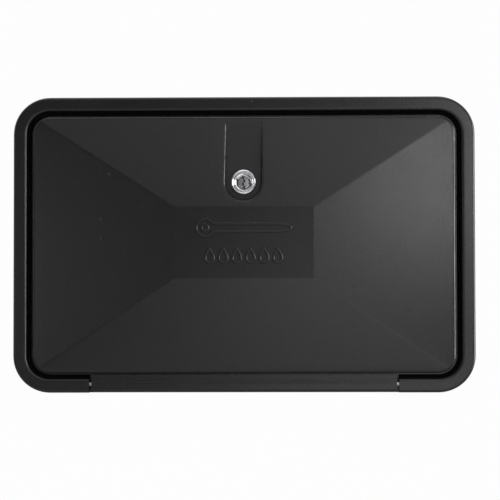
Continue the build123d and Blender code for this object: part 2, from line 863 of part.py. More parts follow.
def knob(x):
    """Fluted knob, hollow behind, with a pocket in front for the index cap."""
    body = rod_y(knob_radius, x, valve_z, knob_back, knob_front)
    body = fillet(edges_at_depth(body, knob_front), knob_edge_radius)
    for number in range(knob_flutes):
        angle = radians(360 / knob_flutes * (number + 0.5))
        reach = knob_radius + knob_flute_radius - knob_flute_bite
        flute_x = x + reach * cos(angle)
        flute_z = valve_z + reach * sin(angle)
        body -= rod_y(knob_flute_radius, flute_x, flute_z, knob_back, knob_front - 1)
    hollow_front = knob_back - knob_hollow_depth
    hollow = Circle(knob_radius - knob_flute_bite - knob_wall) - Circle(knob_hub_radius)
    body -= slab(Pos(x, valve_z) * hollow, knob_back, hollow_front)
    body -= rod_y(stem_radius, x, valve_z, knob_back, knob_back - 1)
    body -= slab(stem_section(x), knob_back - 1, stem_front)
    body -= rod_y(cap_radius, x, valve_z, knob_front + cap_pocket_depth, knob_front - 1)
    return body - rod_y(knob_screw_radius, x, valve_z, stem_front, knob_front + cap_pocket_depth)


def knob_screw(x):
    """Screw through the knob into the stem, under the index cap."""
    seat = knob_front + cap_pocket_depth
    screw = rod_y(knob_screw_head_radius, x, valve_z, seat, seat - knob_screw_head_height)
    return screw + rod_y(knob_screw_radius, x, valve_z, stem_front + knob_screw_length - 1, seat)


def index_cap(x):
    """Crowned cap pressed into the knob."""
    back = knob_front + cap_thickness
    disc = rod_y(cap_radius, x, valve_z, back, knob_front)
    crown = facing_out(knob_front) * (Pos(x, valve_z) * Circle(cap_radius))
    top = facing_out(knob_front - cap_crown) * (Pos(x, valve_z) * Circle(cap_radius - cap_slope))
    return disc + loft([crown, top], ruled=True)


def vacuum_breaker():
    """Vented housing under the spout that lets air in when the water is shut off."""
    body = rod_z(breaker_radius, valve_x, spout_depth, breaker_bottom, spout_bottom)
    ends = body.edges().filter_by(GeomType.CIRCLE)
    body = chamfer(ends, breaker_edge_chamfer)
    slot_middle = (spout_bottom + breaker_bottom) / 2
    for number in range(breaker_slots):
        angle = 360 / breaker_slots * (number + 0.5)
        reach = breaker_radius - breaker_slot_depth / 2
        cutter = Box(breaker_slot_depth + 1, breaker_slot_width, breaker_slot_height)
        place = Pos(valve_x, spout_depth, slot_middle) * Rot(0, 0, angle) * Pos(reach + 0.5, 0, 0)
        body -= place * cutter
    return body - rod_z(breaker_bore, valve_x, spout_depth, breaker_bottom, spout_bottom)


def hose_nipple():
    """Threaded outlet that the shower hose screws onto."""
    hexagon = Plane((valve_x, spout_depth, nipple_shoulder)) * RegularPolygon(
        nipple_hex_flats / 2, 6, major_radius=False
    )
    nipple = extrude(hexagon, nipple_hex_height)
    nipple += rod_z(nipple_thread_radius, valve_x, spout_depth, nipple_end, nipple_shoulder)
    return nipple - rod_z(nipple_bore, valve_x, spout_depth, nipple_end, breaker_bottom)


def handle_grip():
    """Turned handle of the handset, straight where the clip holds it."""
    outline = Wire(
        [
            Line((handle_left, 0), (handle_left, handle_neck_radius)),
            ThreePointArc(
                (handle_left, handle_neck_radius),
                ((handle_left + grip_left) / 2, handle_waist_radius),
                (grip_left, handle_grip_radius),
            ),
            Line((grip_left, handle_grip_radius), (grip_right, handle_grip_radius)),
            ThreePointArc(
                (grip_right, handle_grip_radius),
                ((grip_right + handle_right) / 2, handle_mid_radius),
                (handle_right, handle_end_radius),
            ),
            Line((handle_right, handle_end_radius), (handle_right, 0)),
            Line((handle_right, 0), (handle_left, 0)),
        ]
    )
    flat = Plane((0, handle_depth, handset_z), x_dir=(1, 0, 0), z_dir=(0, -1, 0))
    return revolve(flat * make_face(outline), Axis((0, handle_depth, handset_z), (1, 0, 0)))


def handset_body():
    """Handset moulding: round head, handle and the pad that the flow button slides in."""
    head = rod_y(head_radius, head_x, handset_z, head_back, head_front)
    back_edge = edges_at_depth(head, head_back)
    head = chamfer(back_edge, head_back_fall, head_back_slope)
    head = fillet(edges_at_depth(head, head_front), head_edge_radius)
    body = head + handle_grip()
    pad = Pos(pad_x, handset_z) * SlotOverall(pad_length, pad_width)
    body += slab(pad, handle_depth, pad_front)
    track = Pos(pad_x, handset_z) * Rectangle(track_length, track_width)
    body -= slab(track, pad_bottom + track_depth, pad_bottom)
    slot = Pos(pad_x, handset_z) * Rectangle(track_length, slot_width)
    body -= slab(slot, pad_bottom, pad_front - 1)
    body -= rod_y(face_radius, head_x, handset_z, head_front + face_seat, head_front - 1)
    bore_left = tail_end - tail_bore_depth
    return body - rod_x(tail_bore, bore_left, handle_right + 1, handle_depth, handset_z)


def spray_face():
    """Face plate of the handset with rings of nozzles."""
    plate = rod_y(face_radius, head_x, handset_z, head_front + face_seat, handset_face)
    for ring_number in range(1, nozzle_ring_count + 1):
        radius = ring_number * nozzle_ring_pitch
        count = ring_number * nozzle_first_count
        for number in range(count):
            angle = radians(360 / count * number)
            x = head_x + radius * cos(angle)
            z = handset_z + radius * sin(angle)
            plate += rod_y(nozzle_radius, x, z, handset_face, handset_face - nozzle_height)
    return plate


def spray_ring():
    """Plated trim ring round the face plate."""
    ring = Circle(head_radius - ring_inset) - Circle(face_radius)
    trim = slab(Pos(head_x, handset_z) * ring, head_front, head_front - ring_thickness)
    return fillet(edges_at_depth(trim, head_front - ring_thickness), ring_edge_radius)


def handset_tail():
    """Threaded end of the handset that the hose screws onto."""
    tail = rod_x(tail_collar_radius, handle_right, handle_end, handle_depth, handset_z)
    tail += rod_x(tail_thread_radius, handle_end, tail_end, handle_depth, handset_z)
    return tail - rod_x(
        tail_bore, tail_end - tail_bore_depth, tail_end + 1, handle_depth, handset_z
    )


def flow_button():
    """Sliding button: a foot under the track's lips, a neck and a ridged thumb piece."""
    place = Pos(button_start, handset_z)
    foot = place * Rectangle(button_foot_length, track_width - 2 * button_clearance)
    foot_front = pad_bottom + button_clearance
    foot_back = pad_bottom + track_depth - button_clearance
    button = slab(foot, foot_back, foot_front)
    neck = place * Rectangle(button_foot_length, slot_width - 2 * button_clearance)
    cap_back = pad_front - button_clearance
    button += slab(neck, foot_front, cap_back)
    cap = place * RectangleRounded(button_cap_length, button_cap_width, button_cap_corner)
    cap_front = cap_back - button_cap_height
    thumb = slab(cap, cap_back, cap_front)
    button += fillet(edges_at_depth(thumb, cap_front), button_cap_edge)
    pitch = button_cap_length / (button_ridges + 1)
    for number in range(button_ridges):
        x = button_start - button_cap_length / 2 + (number + 1) * pitch
        button -= block(
            (x - button_groove / 2, x + button_groove / 2),
            (cap_front - 1, cap_front + button_groove_depth),
            (handset_z - button_cap_width, handset_z + button_cap_width),
        )
    return button


def handset_clip():
    """Sprung clip on a foot, open to the front, that grips the handset's handle."""
    left = clip_x - clip_length / 2
    right = clip_x + clip_length / 2
    ring = rod_x(clip_outer_radius, left, right, handle_depth, handset_z)
    stem_low = handset_z - clip_stem_height / 2
    stem_high = handset_z + clip_stem_height / 2
    clip = ring + block((left, right), (handle_depth, tub_floor), (stem_low, stem_high))
    base = Pos(clip_x, handset_z) * RectangleRounded(
        clip_length, clip_base_height, clip_base_corner
    )
    clip += slab(base, tub_floor, tub_floor - clip_base_thickness)
    clip -= rod_x(handle_grip_radius, left - 1, right + 1, handle_depth, handset_z)
    reach = 2 * clip_outer_radius
    half_angle = radians(clip_opening / 2)
    wedge = Polyline(
        (handle_depth, handset_z),
        (handle_depth - reach * cos(half_angle), handset_z - reach * sin(half_angle)),
        (handle_depth - reach * cos(half_angle), handset_z + reach * sin(half_angle)),
        close=True,
    )
    mouth = extrude(Plane.YZ.offset(left - 1) * make_face(wedge), clip_length + 2)
    clip -= mouth
    for side in (-1, 1):
        z = handset_z + side * clip_screw_offset
        clip -= rod_y(clip_screw_radius, clip_x, z, tub_floor, tub_floor - clip_base_thickness)
    return clip


def clip_screws():
    """Two screws through the clip's foot into the bosses on the tub."""
    front = tub_floor - clip_base_thickness
    screws = []
    for side in (-1, 1):
        z = handset_z + side * clip_screw_offset
        head = rod_y(clip_screw_head_radius, clip_x, z, front, front - clip_screw_head_height)
        head = fillet(edges_at_depth(head, front - clip_screw_head_height), clip_screw_edge_radius)
        end = tub_floor + clip_screw_length - clip_screw_spare
        screws.append(head + rod_y(clip_screw_radius, clip_x, z, end, front))
    return Compound(screws)


def parts():
    """Every piece by its name."""
    pieces = {
        "box_shell": box_shell(),
        "lock_strike": lock_strike(),
        "door_panel": door_panel(),
        "door_seal": door_seal(),
        "left_hinge_pin": hinge_pin(-1),
        "right_hinge_pin": hinge_pin(1),
        "lock_barrel": lock_barrel(),
        "lock_plug": lock_plug(),
        "lock_washer": lock_washer(),
        "lock_nut": lock_nut(),
        "lock_cam": lock_cam(),
        "cam_screw": cam_screw(),
        "valve_body": valve_body(),
        "vacuum_breaker": vacuum_breaker(),
        "hose_nipple": hose_nipple(),
        "handset_body": handset_body(),
        "spray_face": spray_face(),
        "spray_ring": spray_ring(),
        "handset_tail": handset_tail(),
        "flow_button": flow_button(),
        "handset_clip": handset_clip(),
        "clip_screws": clip_screws(),
    }
    for name, x in inlet_positions.items():
        pieces[f"{name}_shank_washer"] = shank_washer(x)
        pieces[f"{name}_shank_nut"] = shank_nut(x)
        pieces[f"{name}_cartridge"] = cartridge(x)
        pieces[f"{name}_bonnet_nut"] = bonnet_nut(x)
        pieces[f"{name}_stem"] = valve_stem(x)
        pieces[f"{name}_knob"] = knob(x)
        pieces[f"{name}_knob_screw"] = knob_screw(x)
        pieces[f"{name}_index_cap"] = index_cap(x)
    return pieces


os.makedirs("parts", exist_ok=True)
for part_name, shape in parts().items():
    export_step(shape, f"parts/{part_name}.step")
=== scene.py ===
"""Finished look of an outside shower box for a caravan's side wall.

Every class below stands for one sub-assembly: it holds that sub-assembly's sizes as fields, builds
its surfaces and dresses them. Lengths are in metres. X runs to the right, Z up and Y into the
vehicle, and each finished piece keeps its place in its own mesh.
"""

from __future__ import annotations

import json
import logging
import math
from dataclasses import dataclass
from enum import Enum

import bmesh
import bpy
import numpy as np
from mathutils import Matrix, Vector


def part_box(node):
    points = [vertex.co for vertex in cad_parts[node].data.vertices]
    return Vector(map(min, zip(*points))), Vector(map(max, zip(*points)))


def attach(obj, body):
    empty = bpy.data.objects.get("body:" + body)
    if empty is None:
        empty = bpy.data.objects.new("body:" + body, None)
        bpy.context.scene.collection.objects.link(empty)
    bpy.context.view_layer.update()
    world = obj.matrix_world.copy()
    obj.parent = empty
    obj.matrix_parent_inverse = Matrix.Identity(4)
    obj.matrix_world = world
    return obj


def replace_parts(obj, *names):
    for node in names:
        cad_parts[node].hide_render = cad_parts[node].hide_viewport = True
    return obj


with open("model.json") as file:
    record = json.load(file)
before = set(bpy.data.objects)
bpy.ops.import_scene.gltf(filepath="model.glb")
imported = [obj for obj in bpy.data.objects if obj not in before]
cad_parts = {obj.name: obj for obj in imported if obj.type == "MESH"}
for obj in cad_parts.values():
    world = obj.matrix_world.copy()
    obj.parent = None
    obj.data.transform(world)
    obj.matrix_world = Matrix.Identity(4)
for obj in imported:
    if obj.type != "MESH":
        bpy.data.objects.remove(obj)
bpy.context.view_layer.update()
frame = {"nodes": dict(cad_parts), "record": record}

log = logging.getLogger("shower_box")

MM = 0.001
# Attribute that marks the faces with the deeper etching
ETCHED = "Etched"
# Angle in degrees past which most pieces' edges stay sharp
SHARP_FROM = 32.0
# Distance within which two points are one
JOINED = 1e-7
DUST_COLOUR = (0.20, 0.19, 0.18, 1.0)

Colour = tuple[float, float, float]
Piece = bpy.types.Object
Socket = bpy.types.NodeSocket


class Slot(Enum):
    """Finishes that the record names for the pieces."""

    BLACK_PLASTIC = "black_plastic"
    SEAL_FOAM = "seal_foam"
    SEAL_RUBBER = "seal_rubber"
    STEEL_PIN = "steel_pin"
    LOCK_CHROME = "lock_chrome"
    ZINC_STEEL = "zinc_steel"
    WHITE_PLASTIC = "white_plastic"
    GREY_PLASTIC = "grey_plastic"
    VALVE_BRASS = "valve_brass"
    TRIM_CHROME = "trim_chrome"
    HOT_RED = "hot_red"
    COLD_BLUE = "cold_blue"


class Way(Enum):
    """Directions in which a turned piece can point."""

    RIGHT = (1.0, 0.0, 0.0)
    OUT = (0.0, -1.0, 0.0)
    IN = (0.0, 1.0, 0.0)
    DOWN = (0.0, 0.0, -1.0)


class Side(Enum):
    """The valve's two sides, as their nodes' names begin."""

    HOT = "hot"
    COLD = "cold"


# Node graphs


class Graph:
    """Adds nodes to a tree and links them by the names of their sockets."""

    def __init__(self, tree: bpy.types.NodeTree) -> None:
        """Takes the tree of a material, world or group."""
        self.tree = tree

    def add(self, kind: str, inputs: dict | None = None, **settings: object) -> bpy.types.Node:
        """Adds a node.

        Args:
            kind: The node's type.
            inputs: Values or other nodes' sockets, by the name or number of the input.
            **settings: Properties of the node.

        Returns:
            The new node.
        """
        node = self.tree.nodes.new(kind)
        for key, value in settings.items():
            setattr(node, key, value)
        self.feed(node, inputs or {})
        return node

    def feed(self, node: bpy.types.Node, inputs: dict) -> None:
        """Sets or links a node's inputs.

        Args:
            node: The node.
            inputs: Values or sockets, by the name or number of the input.
        """
        for key, value in inputs.items():
            if isinstance(value, Socket):
                self.tree.links.new(value, node.inputs[key])
            else:
                node.inputs[key].default_value = value

    def maths(self, operation: str, *values: float | Socket) -> Socket:
        """Adds a Math node.

        Args:
            operation: The operation's name.
            *values: Numbers or sockets.

        Returns:
            The node's output.
        """
        return self.add("ShaderNodeMath", dict(enumerate(values)), operation=operation).outputs[0]

    def ramp(self, value: Socket, low: float, high: float, out_low: float, out_high: float) -> Socket:
        """Maps a value smoothly from one range to another.

        Args:
            value: The socket to map.
            low: Start of the range in.
            high: End of the range in.
            out_low: Start of the range out.
            out_high: End of the range out.

        Returns:
            The mapped value.
        """
        ends = {0: value, 1: low, 2: high, 3: out_low, 4: out_high}
        return self.add("ShaderNodeMapRange", ends, interpolation_type="SMOOTHSTEP").outputs[0]

    def noise(self, place: Socket, scale: float | Socket, detail: float = 2.0) -> Socket:
        """Adds a noise pattern.

        Args:
            place: The socket with the place.
            scale: Repeats to the metre.
            detail: How many finer layers it has.

        Returns:
            The pattern's value, about 0.5 on average.
        """
        inputs = {"Vector": place, "Scale": scale, "Detail": detail, "Roughness": 0.6}
        return self.add("ShaderNodeTexNoise", inputs).outputs[0]

    def centred_noise(self, place: Socket, scale: float | Socket, detail: float = 2.0) -> Socket:
        """Adds a noise pattern about 0. See noise for the arguments."""
        return self.maths("SUBTRACT", self.noise(place, scale, detail), 0.5)

    def rays(self) -> tuple[Socket, Socket, Socket]:
        """Tells the kinds of ray apart.

        Returns:
            Three values that are 1 for rays from the camera, straight or through glass, for soft
            rays and for polished ones.
        """
        path = self.add("ShaderNodeLightPath").outputs
        seen = self.maths("MAXIMUM", path["Is Camera Ray"], path["Is Transmission Ray"])
        return seen, path["Is Diffuse Ray"], path["Is Glossy Ray"]


class Pattern:
    """A node group with named inputs and outputs, which all carry one value."""

    def __init__(self, name: str, inputs: dict[str, float], outputs: tuple[str, ...]) -> None:
        """Starts the group.

        Args:
            name: The group's name.
            inputs: Its numbers with their default values. The place comes first by itself.
            outputs: The names of its outputs.
        """
        self.tree = bpy.data.node_groups.new(name, "ShaderNodeTree")
        sockets = self.tree.interface
        sockets.new_socket(name="Place", in_out="INPUT", socket_type="NodeSocketVector")
        for label, value in inputs.items():
            made = sockets.new_socket(name=label, in_out="INPUT", socket_type="NodeSocketFloat")
            made.default_value = value
        for label in outputs:
            sockets.new_socket(name=label, in_out="OUTPUT", socket_type="NodeSocketFloat")
        self.graph = Graph(self.tree)
        self.source = self.graph.add("NodeGroupInput").outputs
        self.sink = self.graph.add("NodeGroupOutput")

    def put_out(self, **values: Socket) -> None:
        """Links the outputs by name."""
        self.graph.feed(self.sink, values)

    def into(self, graph: Graph, place: Socket, **inputs: float | Socket) -> bpy.types.NodeOutputs:
        """Places the group in a material.

        Args:
            graph: The material's graph.
            place: The socket with the place on the piece.
            **inputs: Its other inputs by name.

        Returns:
            The placed group's outputs.
        """
        node = graph.add("ShaderNodeGroup", {"Place": place, **inputs}, node_tree=self.tree)
        return node.outputs


def moulded_skin() -> Pattern:
    """Skin of a moulding: fine grain, blotches of gloss and faint blotches of colour.

    Height is the sum of a fine noise and of one 2.4 times coarser. Gloss is a broad noise about 0,
    and Mottle is a noise six times coarser than the grain, about 0.

    Returns:
        The pattern.
    """
    pattern = Pattern("moulded_skin", {"Repeats": 2500.0}, ("Height", "Gloss", "Mottle"))
    graph = pattern.graph
    place, repeats = pattern.source["Place"], pattern.source["Repeats"]
    coarse_share, mottle_share, gloss_repeats = 0.42, 0.16, 40.0
    coarse_height, fine_height = 0.7, 0.6
    fine = graph.noise(place, repeats)
    coarse = graph.noise(place, graph.maths("MULTIPLY", repeats, coarse_share), detail=1.0)
    fine_part = graph.maths("MULTIPLY", fine, fine_height)
    height = graph.maths("MULTIPLY_ADD", coarse, coarse_height, fine_part)
    gloss = graph.centred_noise(place, gloss_repeats, detail=3.0)
    mottle = graph.centred_noise(place, graph.maths("MULTIPLY", repeats, mottle_share), detail=3.0)
    pattern.put_out(Height=height, Gloss=gloss, Mottle=mottle)
    return pattern


def dust_specks() -> Pattern:
    """Sparse specks: the middle of a cell in a cell pattern, for a small share of the cells.

    Returns:
        The pattern.
    """
    inputs = {"Repeats": 170.0, "Share": 0.04, "Radius": 0.05}
    pattern = Pattern("dust_specks", inputs, ("Mask",))
    graph = pattern.graph
    cells = graph.add(
        "ShaderNodeTexVoronoi",
        {"Vector": pattern.source["Place"], "Scale": pattern.source["Repeats"]},
    ).outputs
    near = graph.maths("LESS_THAN", cells["Distance"], pattern.source["Radius"])
    number = graph.add("ShaderNodeSeparateColor", {0: cells["Color"]}).outputs[0]
    kept = graph.maths("LESS_THAN", number, pattern.source["Share"])
    pattern.put_out(Mask=graph.maths("MULTIPLY", near, kept))
    return pattern


def handling_scuffs() -> Pattern:
    """Fine scuffs: the thin zero lines of two noises that are stretched along different ways.

    Returns:
        The pattern.
    """
    pattern = Pattern("handling_scuffs", {"Repeats": 700.0}, ("Mask",))
    graph = pattern.graph
    place, repeats = pattern.source["Place"], pattern.source["Repeats"]
    ways, stretch, line_width = ((0.3, 0.6, 0.2), (0.3, 2.1, 0.2)), (1.0, 1.0, 0.06), 0.008
    patch_repeats, patch_start, patch_full = 60.0, 0.5, 0.62
    lines = []
    for way in ways:
        mapping = {"Vector": place, "Rotation": way, "Scale": stretch}
        along = graph.add("ShaderNodeMapping", mapping).outputs[0]
        value = graph.maths("ABSOLUTE", graph.centred_noise(along, repeats))
        lines.append(graph.ramp(value, 0.0, line_width, 1.0, 0.0))
    patches = graph.ramp(graph.noise(place, patch_repeats), patch_start, patch_full, 0.0, 1.0)
    pattern.put_out(Mask=graph.maths("MULTIPLY", graph.maths("MAXIMUM", *lines), patches))
    return pattern


def machining_marks() -> Pattern:
    """Turning or drawing marks: a noise stretched by a scale for each axis, and a broad tone.

    Returns:
        The pattern.
    """
    inputs = {"Along X": 1.0, "Along Y": 1.0, "Along Z": 1.0}
    pattern = Pattern("machining_marks", inputs, ("Height", "Tone"))
    graph = pattern.graph
    place, tone_repeats = pattern.source["Place"], 220.0
    along = {axis: pattern.source[f"Along {axis}"] for axis in "XYZ"}
    scales = graph.add("ShaderNodeCombineXYZ", along).outputs[0]
    product = graph.add("ShaderNodeVectorMath", {0: place, 1: scales}, operation="MULTIPLY")
    height = graph.noise(product.outputs[0], 1.0, detail=3.0)
    pattern.put_out(Height=height, Tone=graph.centred_noise(place, tone_repeats))
    return pattern


def sponge_pores() -> Pattern:
    """Closed-cell sponge: round pores of two sizes, each a dip round the middle of a cell.

    Returns:
        The pattern.
    """
    pattern = Pattern("sponge_pores", {"Repeats": 1500.0}, ("Height",))
    graph = pattern.graph
    dips, pore_edge = [], 0.6
    for share, depth in ((1.0, 0.6), (0.4, 0.4)):
        scale = graph.maths("MULTIPLY", pattern.source["Repeats"], share)
        cells = graph.add("ShaderNodeTexVoronoi", {"Vector": pattern.source["Place"], "Scale": scale})
        dips.append(graph.ramp(cells.outputs["Distance"], 0.0, pore_edge, 0.0, depth))
    pattern.put_out(Height=graph.maths("ADD", *dips))
    return pattern


@dataclass(frozen=True)
class Patterns:
    """The shared patterns, each built once."""

    skin: Pattern
    dust: Pattern
    scuffs: Pattern
    marks: Pattern
    pores: Pattern


# Finishes


@dataclass(frozen=True, kw_only=True)
class Finish:
    """What every finish has.

    Attributes:
        colour: Base colour, linear.
        roughness: Average roughness.
    """

    colour: Colour
    roughness: float

    def material(self, slot: Slot, patterns: Patterns) -> bpy.types.Material:
        """Makes the material.

        Args:
            slot: The finish's slot, which names it.
            patterns: The shared patterns.

        Returns:
            The material.
        """
        made = bpy.data.materials.new(slot.value)
        made.use_nodes = True
        made.diffuse_color = (*self.colour, 1.0)
        graph = Graph(made.node_tree)
        place = graph.add("ShaderNodeTexCoord").outputs["Object"]
        self.paint(graph, made.node_tree.nodes["Principled BSDF"], place, patterns)
        return made

    def paint(self, graph: Graph, shader: bpy.types.Node, place: Socket, patterns: Patterns) -> None:
        """Sets up the shader, as each kind of finish does in its own way.

        Args:
            graph: The material's graph.
            shader: The material's shader.
            place: The socket with the place on the piece.
            patterns: The shared patterns.
        """
        raise NotImplementedError

    def tinted(self, graph: Graph, amount: Socket, share: float) -> Socket:
        """Lightens and darkens the base colour.

        Args:
            graph: The material's graph.
            amount: A value about 0.
            share: How much of the colour it changes by.

        Returns:
            The colour.
        """
        brightness = graph.maths("MULTIPLY_ADD", amount, share, 1.0)
        inputs = {0: self.colour, "Scale": brightness}
        return graph.add("ShaderNodeVectorMath", inputs, operation="SCALE").outputs[0]


@dataclass(frozen=True, kw_only=True)
class Handled(Finish):
    """A finish with uneven gloss, which may be scuffed.

    Attributes:
        gloss_spread: How uneven its gloss is.
        scuffs: How much the scuffs roughen it.
    """

    gloss_spread: float = 0.1
    scuffs: float = 0.0

    def worn(self, graph: Graph, place: Socket, patterns: Patterns, uneven: Socket) -> Socket:
        """Works out the roughness: the average, plus a share of an uneven value, plus the scuffs.

        Args:
            graph: The material's graph.
            place: The socket with the place on the piece.
            patterns: The shared patterns.
            uneven: A value about 0.

        Returns:
            The roughness.
        """
        rough = graph.maths("MULTIPLY_ADD", uneven, self.gloss_spread, self.roughness)
        if self.scuffs:
            mask = patterns.scuffs.into(graph, place)["Mask"]
            rough = graph.maths("MULTIPLY_ADD", mask, self.scuffs, rough)
        return rough


@dataclass(frozen=True, kw_only=True)
class Moulded(Handled):
    """Injection-moulded plastic or rubber.

    Attributes:
        grain: Size of its skin's grain.
        depth: Depth of the grain.
        mottle: How uneven its colour is.
        dust: Share of the places that hold a speck of dust.
        etching: How much rougher its deeply etched faces are.
    """

    grain: float
    depth: float
    mottle: float
    dust: float = 0.0
    etching: float = 0.0

    def paint(self, graph: Graph, shader: bpy.types.Node, place: Socket, patterns: Patterns) -> None:
        """Sets up the shader.

        Args:
            graph: The material's graph.
            shader: The material's shader.
            place: The socket with the place on the piece.
            patterns: The shared patterns.
        """
        skin = patterns.skin.into(graph, place, Repeats=1.0 / self.grain)
        colour = self.tinted(graph, skin["Mottle"], self.mottle)
        rough = self.worn(graph, place, patterns, skin["Gloss"])
        if self.dust:
            specks = patterns.dust.into(graph, place, Share=self.dust)["Mask"]
            mixed = {0: specks, 6: colour, 7: DUST_COLOUR}
            colour = graph.add("ShaderNodeMix", mixed, data_type="RGBA").outputs[2]
        if self.etching:
            etched = graph.add("ShaderNodeAttribute", attribute_name=ETCHED).outputs["Fac"]
            rough = graph.maths("MULTIPLY_ADD", etched, self.etching, rough)
        bump = graph.add("ShaderNodeBump", {"Distance": self.depth, "Height": skin["Height"]})
        graph.feed(shader, {"Base Color": colour, "Roughness": rough, "Normal": bump.outputs[0]})


@dataclass(frozen=True, kw_only=True)
class Machined(Handled):
    """Bare or plated metal with the marks of its making.

    Attributes:
        marks: Repeats to the metre of the marks along X, Y and Z.
        depth: Depth of the marks.
        tone: How uneven its colour is.
    """

    marks: tuple[float, float, float]
    depth: float
    tone: float = 0.1

    def paint(self, graph: Graph, shader: bpy.types.Node, place: Socket, patterns: Patterns) -> None:
        """Sets up the shader.

        Args:
            graph: The material's graph.
            shader: The material's shader.
            place: The socket with the place on the piece.
            patterns: The shared patterns.
        """
        along = {f"Along {axis}": number for axis, number in zip("XYZ", self.marks)}
        marks = patterns.marks.into(graph, place, **along)
        rough = self.worn(graph, place, patterns, marks["Tone"])
        bump = graph.add("ShaderNodeBump", {"Distance": self.depth, "Height": marks["Height"]})
        colour = self.tinted(graph, marks["Tone"], self.tone)
        inputs = {"Base Color": colour, "Metallic": 1.0, "Roughness": rough, "Normal": bump.outputs[0]}
        graph.feed(shader, inputs)


@dataclass(frozen=True, kw_only=True)
class Sponge(Finish):
    """Closed-cell foam.

    Attributes:
        pore: Size of its pores.
        depth: Depth of its pores.
        pore_middle: The pattern's height at which the colour is the base colour.
        pore_shade: How much darker its pores are: painted shade in their hollows.
        pore_rough: How much rougher its walls are than its pores.
    """

    pore: float
    depth: float
    pore_middle: float = 0.6
    pore_shade: float = 0.5
    pore_rough: float = 0.1

    def paint(self, graph: Graph, shader: bpy.types.Node, place: Socket, patterns: Patterns) -> None:
        """Sets up the shader.

        Args:
            graph: The material's graph.
            shader: The material's shader.
            place: The socket with the place on the piece.
            patterns: The shared patterns.
        """
        height = patterns.pores.into(graph, place, Repeats=1.0 / self.pore)["Height"]
        rough = graph.maths("MULTIPLY_ADD", height, self.pore_rough, self.roughness)
        # The colour is darker where the pores dip: painted shade in the hollows.
        uneven = graph.maths("SUBTRACT", height, self.pore_middle)
        colour = self.tinted(graph, uneven, self.pore_shade)
        bump = graph.add("ShaderNodeBump", {"Distance": self.depth, "Height": height})
        graph.feed(shader, {"Base Color": colour, "Roughness": rough, "Normal": bump.outputs[0]})


def index_plastic(colour: Colour) -> Moulded:
    """Gives the glossy plastic of an index cap.

    Args:
        colour: The cap's colour, linear.

    Returns:
        The finish.
    """
    return Moulded(
        colour=colour,
        roughness=0.25,
        grain=0.5 * MM,
        depth=0.002 * MM,
        mottle=0.08,
        gloss_spread=0.1,
        scuffs=0.1,
    )


FINISHES: dict[Slot, Finish] = {
    Slot.BLACK_PLASTIC: Moulded(
        colour=(0.0043, 0.0044, 0.0046),
        roughness=0.27,
        grain=0.45 * MM,
        depth=0.010 * MM,
        mottle=0.5,
        gloss_spread=0.06,
        dust=0.02,
        scuffs=0.05,
        etching=0.2,
    ),
    Slot.SEAL_FOAM: Sponge(
        colour=(0.012, 0.012, 0.013), roughness=0.85, pore=0.7 * MM, depth=0.12 * MM
    ),
    Slot.SEAL_RUBBER: Moulded(
        colour=(0.010, 0.010, 0.010),
        roughness=0.6,
        grain=0.3 * MM,
        depth=0.006 * MM,
        mottle=0.3,
        gloss_spread=0.15,
    ),
    Slot.STEEL_PIN: Machined(
        colour=(0.56, 0.56, 0.57), roughness=0.28, marks=(60.0, 4000.0, 4000.0), depth=0.002 * MM
    ),
    Slot.LOCK_CHROME: Machined(
        colour=(0.72, 0.72, 0.74),
        roughness=0.09,
        marks=(300.0, 300.0, 300.0),
        depth=0.004 * MM,
        tone=0.06,
        gloss_spread=0.08,
        scuffs=0.12,
    ),
    Slot.ZINC_STEEL: Machined(
        colour=(0.55, 0.55, 0.53),
        roughness=0.36,
        marks=(900.0, 900.0, 900.0),
        depth=0.008 * MM,
        tone=0.35,
        gloss_spread=0.25,
        scuffs=0.1,
    ),
    Slot.WHITE_PLASTIC: Moulded(
        colour=(0.76, 0.76, 0.74),
        roughness=0.30,
        grain=0.5 * MM,
        depth=0.003 * MM,
        mottle=0.03,
        gloss_spread=0.12,
        dust=0.004,
        scuffs=0.12,
    ),
    Slot.GREY_PLASTIC: Moulded(
        colour=(0.105, 0.11, 0.115),
        roughness=0.45,
        grain=0.35 * MM,
        depth=0.008 * MM,
        mottle=0.12,
        gloss_spread=0.12,
    ),
    Slot.VALVE_BRASS: Machined(
        colour=(0.72, 0.50, 0.22),
        roughness=0.25,
        marks=(2600.0, 2600.0, 2600.0),
        depth=0.003 * MM,
        tone=0.2,
        gloss_spread=0.2,
        scuffs=0.1,
    ),
    Slot.TRIM_CHROME: Machined(
        colour=(0.78, 0.78, 0.80),
        roughness=0.06,
        marks=(250.0, 250.0, 250.0),
        depth=0.002 * MM,
        tone=0.04,
        gloss_spread=0.05,
        scuffs=0.05,
    ),
    Slot.HOT_RED: index_plastic((0.48, 0.012, 0.010)),
    Slot.COLD_BLUE: index_plastic((0.010, 0.060, 0.40)),
}


class FinishBook:
    """Makes each slot's material when it is first asked for."""

    def __init__(self) -> None:
        """Builds the shared patterns."""
        self.patterns = Patterns(
            moulded_skin(), dust_specks(), handling_scuffs(), machining_marks(), sponge_pores()
        )
        self.made: dict[Slot, bpy.types.Material] = {}

    def material(self, slot: Slot) -> bpy.types.Material:
        """Gives a slot's material.

        Args:
            slot: The slot.

        Returns:
            Its material.
        """
        if slot not in self.made:
            self.made[slot] = FINISHES[slot].material(slot, self.patterns)
        return self.made[slot]


# Surfaces


def grid_faces(rows: int, columns: int, rows_close: bool) -> np.ndarray:
    """Numbers the corners of a grid's quads, with its columns closed into a ring.

    Args:
        rows: How many rows of points it has.
        columns: How many points each row has.
        rows_close: Whether the last row joins the first.

    Returns:
        One line of four corner numbers to a face.
    """
    row = np.arange(rows if rows_close else rows - 1)[:, None]
    column = np.arange(columns)[None, :]
    after_row = (row + 1) % rows
    after_column = (column + 1) % columns
    corners = [
        row * columns + column,
        row * columns + after_column,
        after_row * columns + after_column,
        after_row * columns + column,
    ]
    return np.stack([np.broadcast_to(c, (len(row), columns)) for c in corners], axis=-1).reshape(-1, 4)


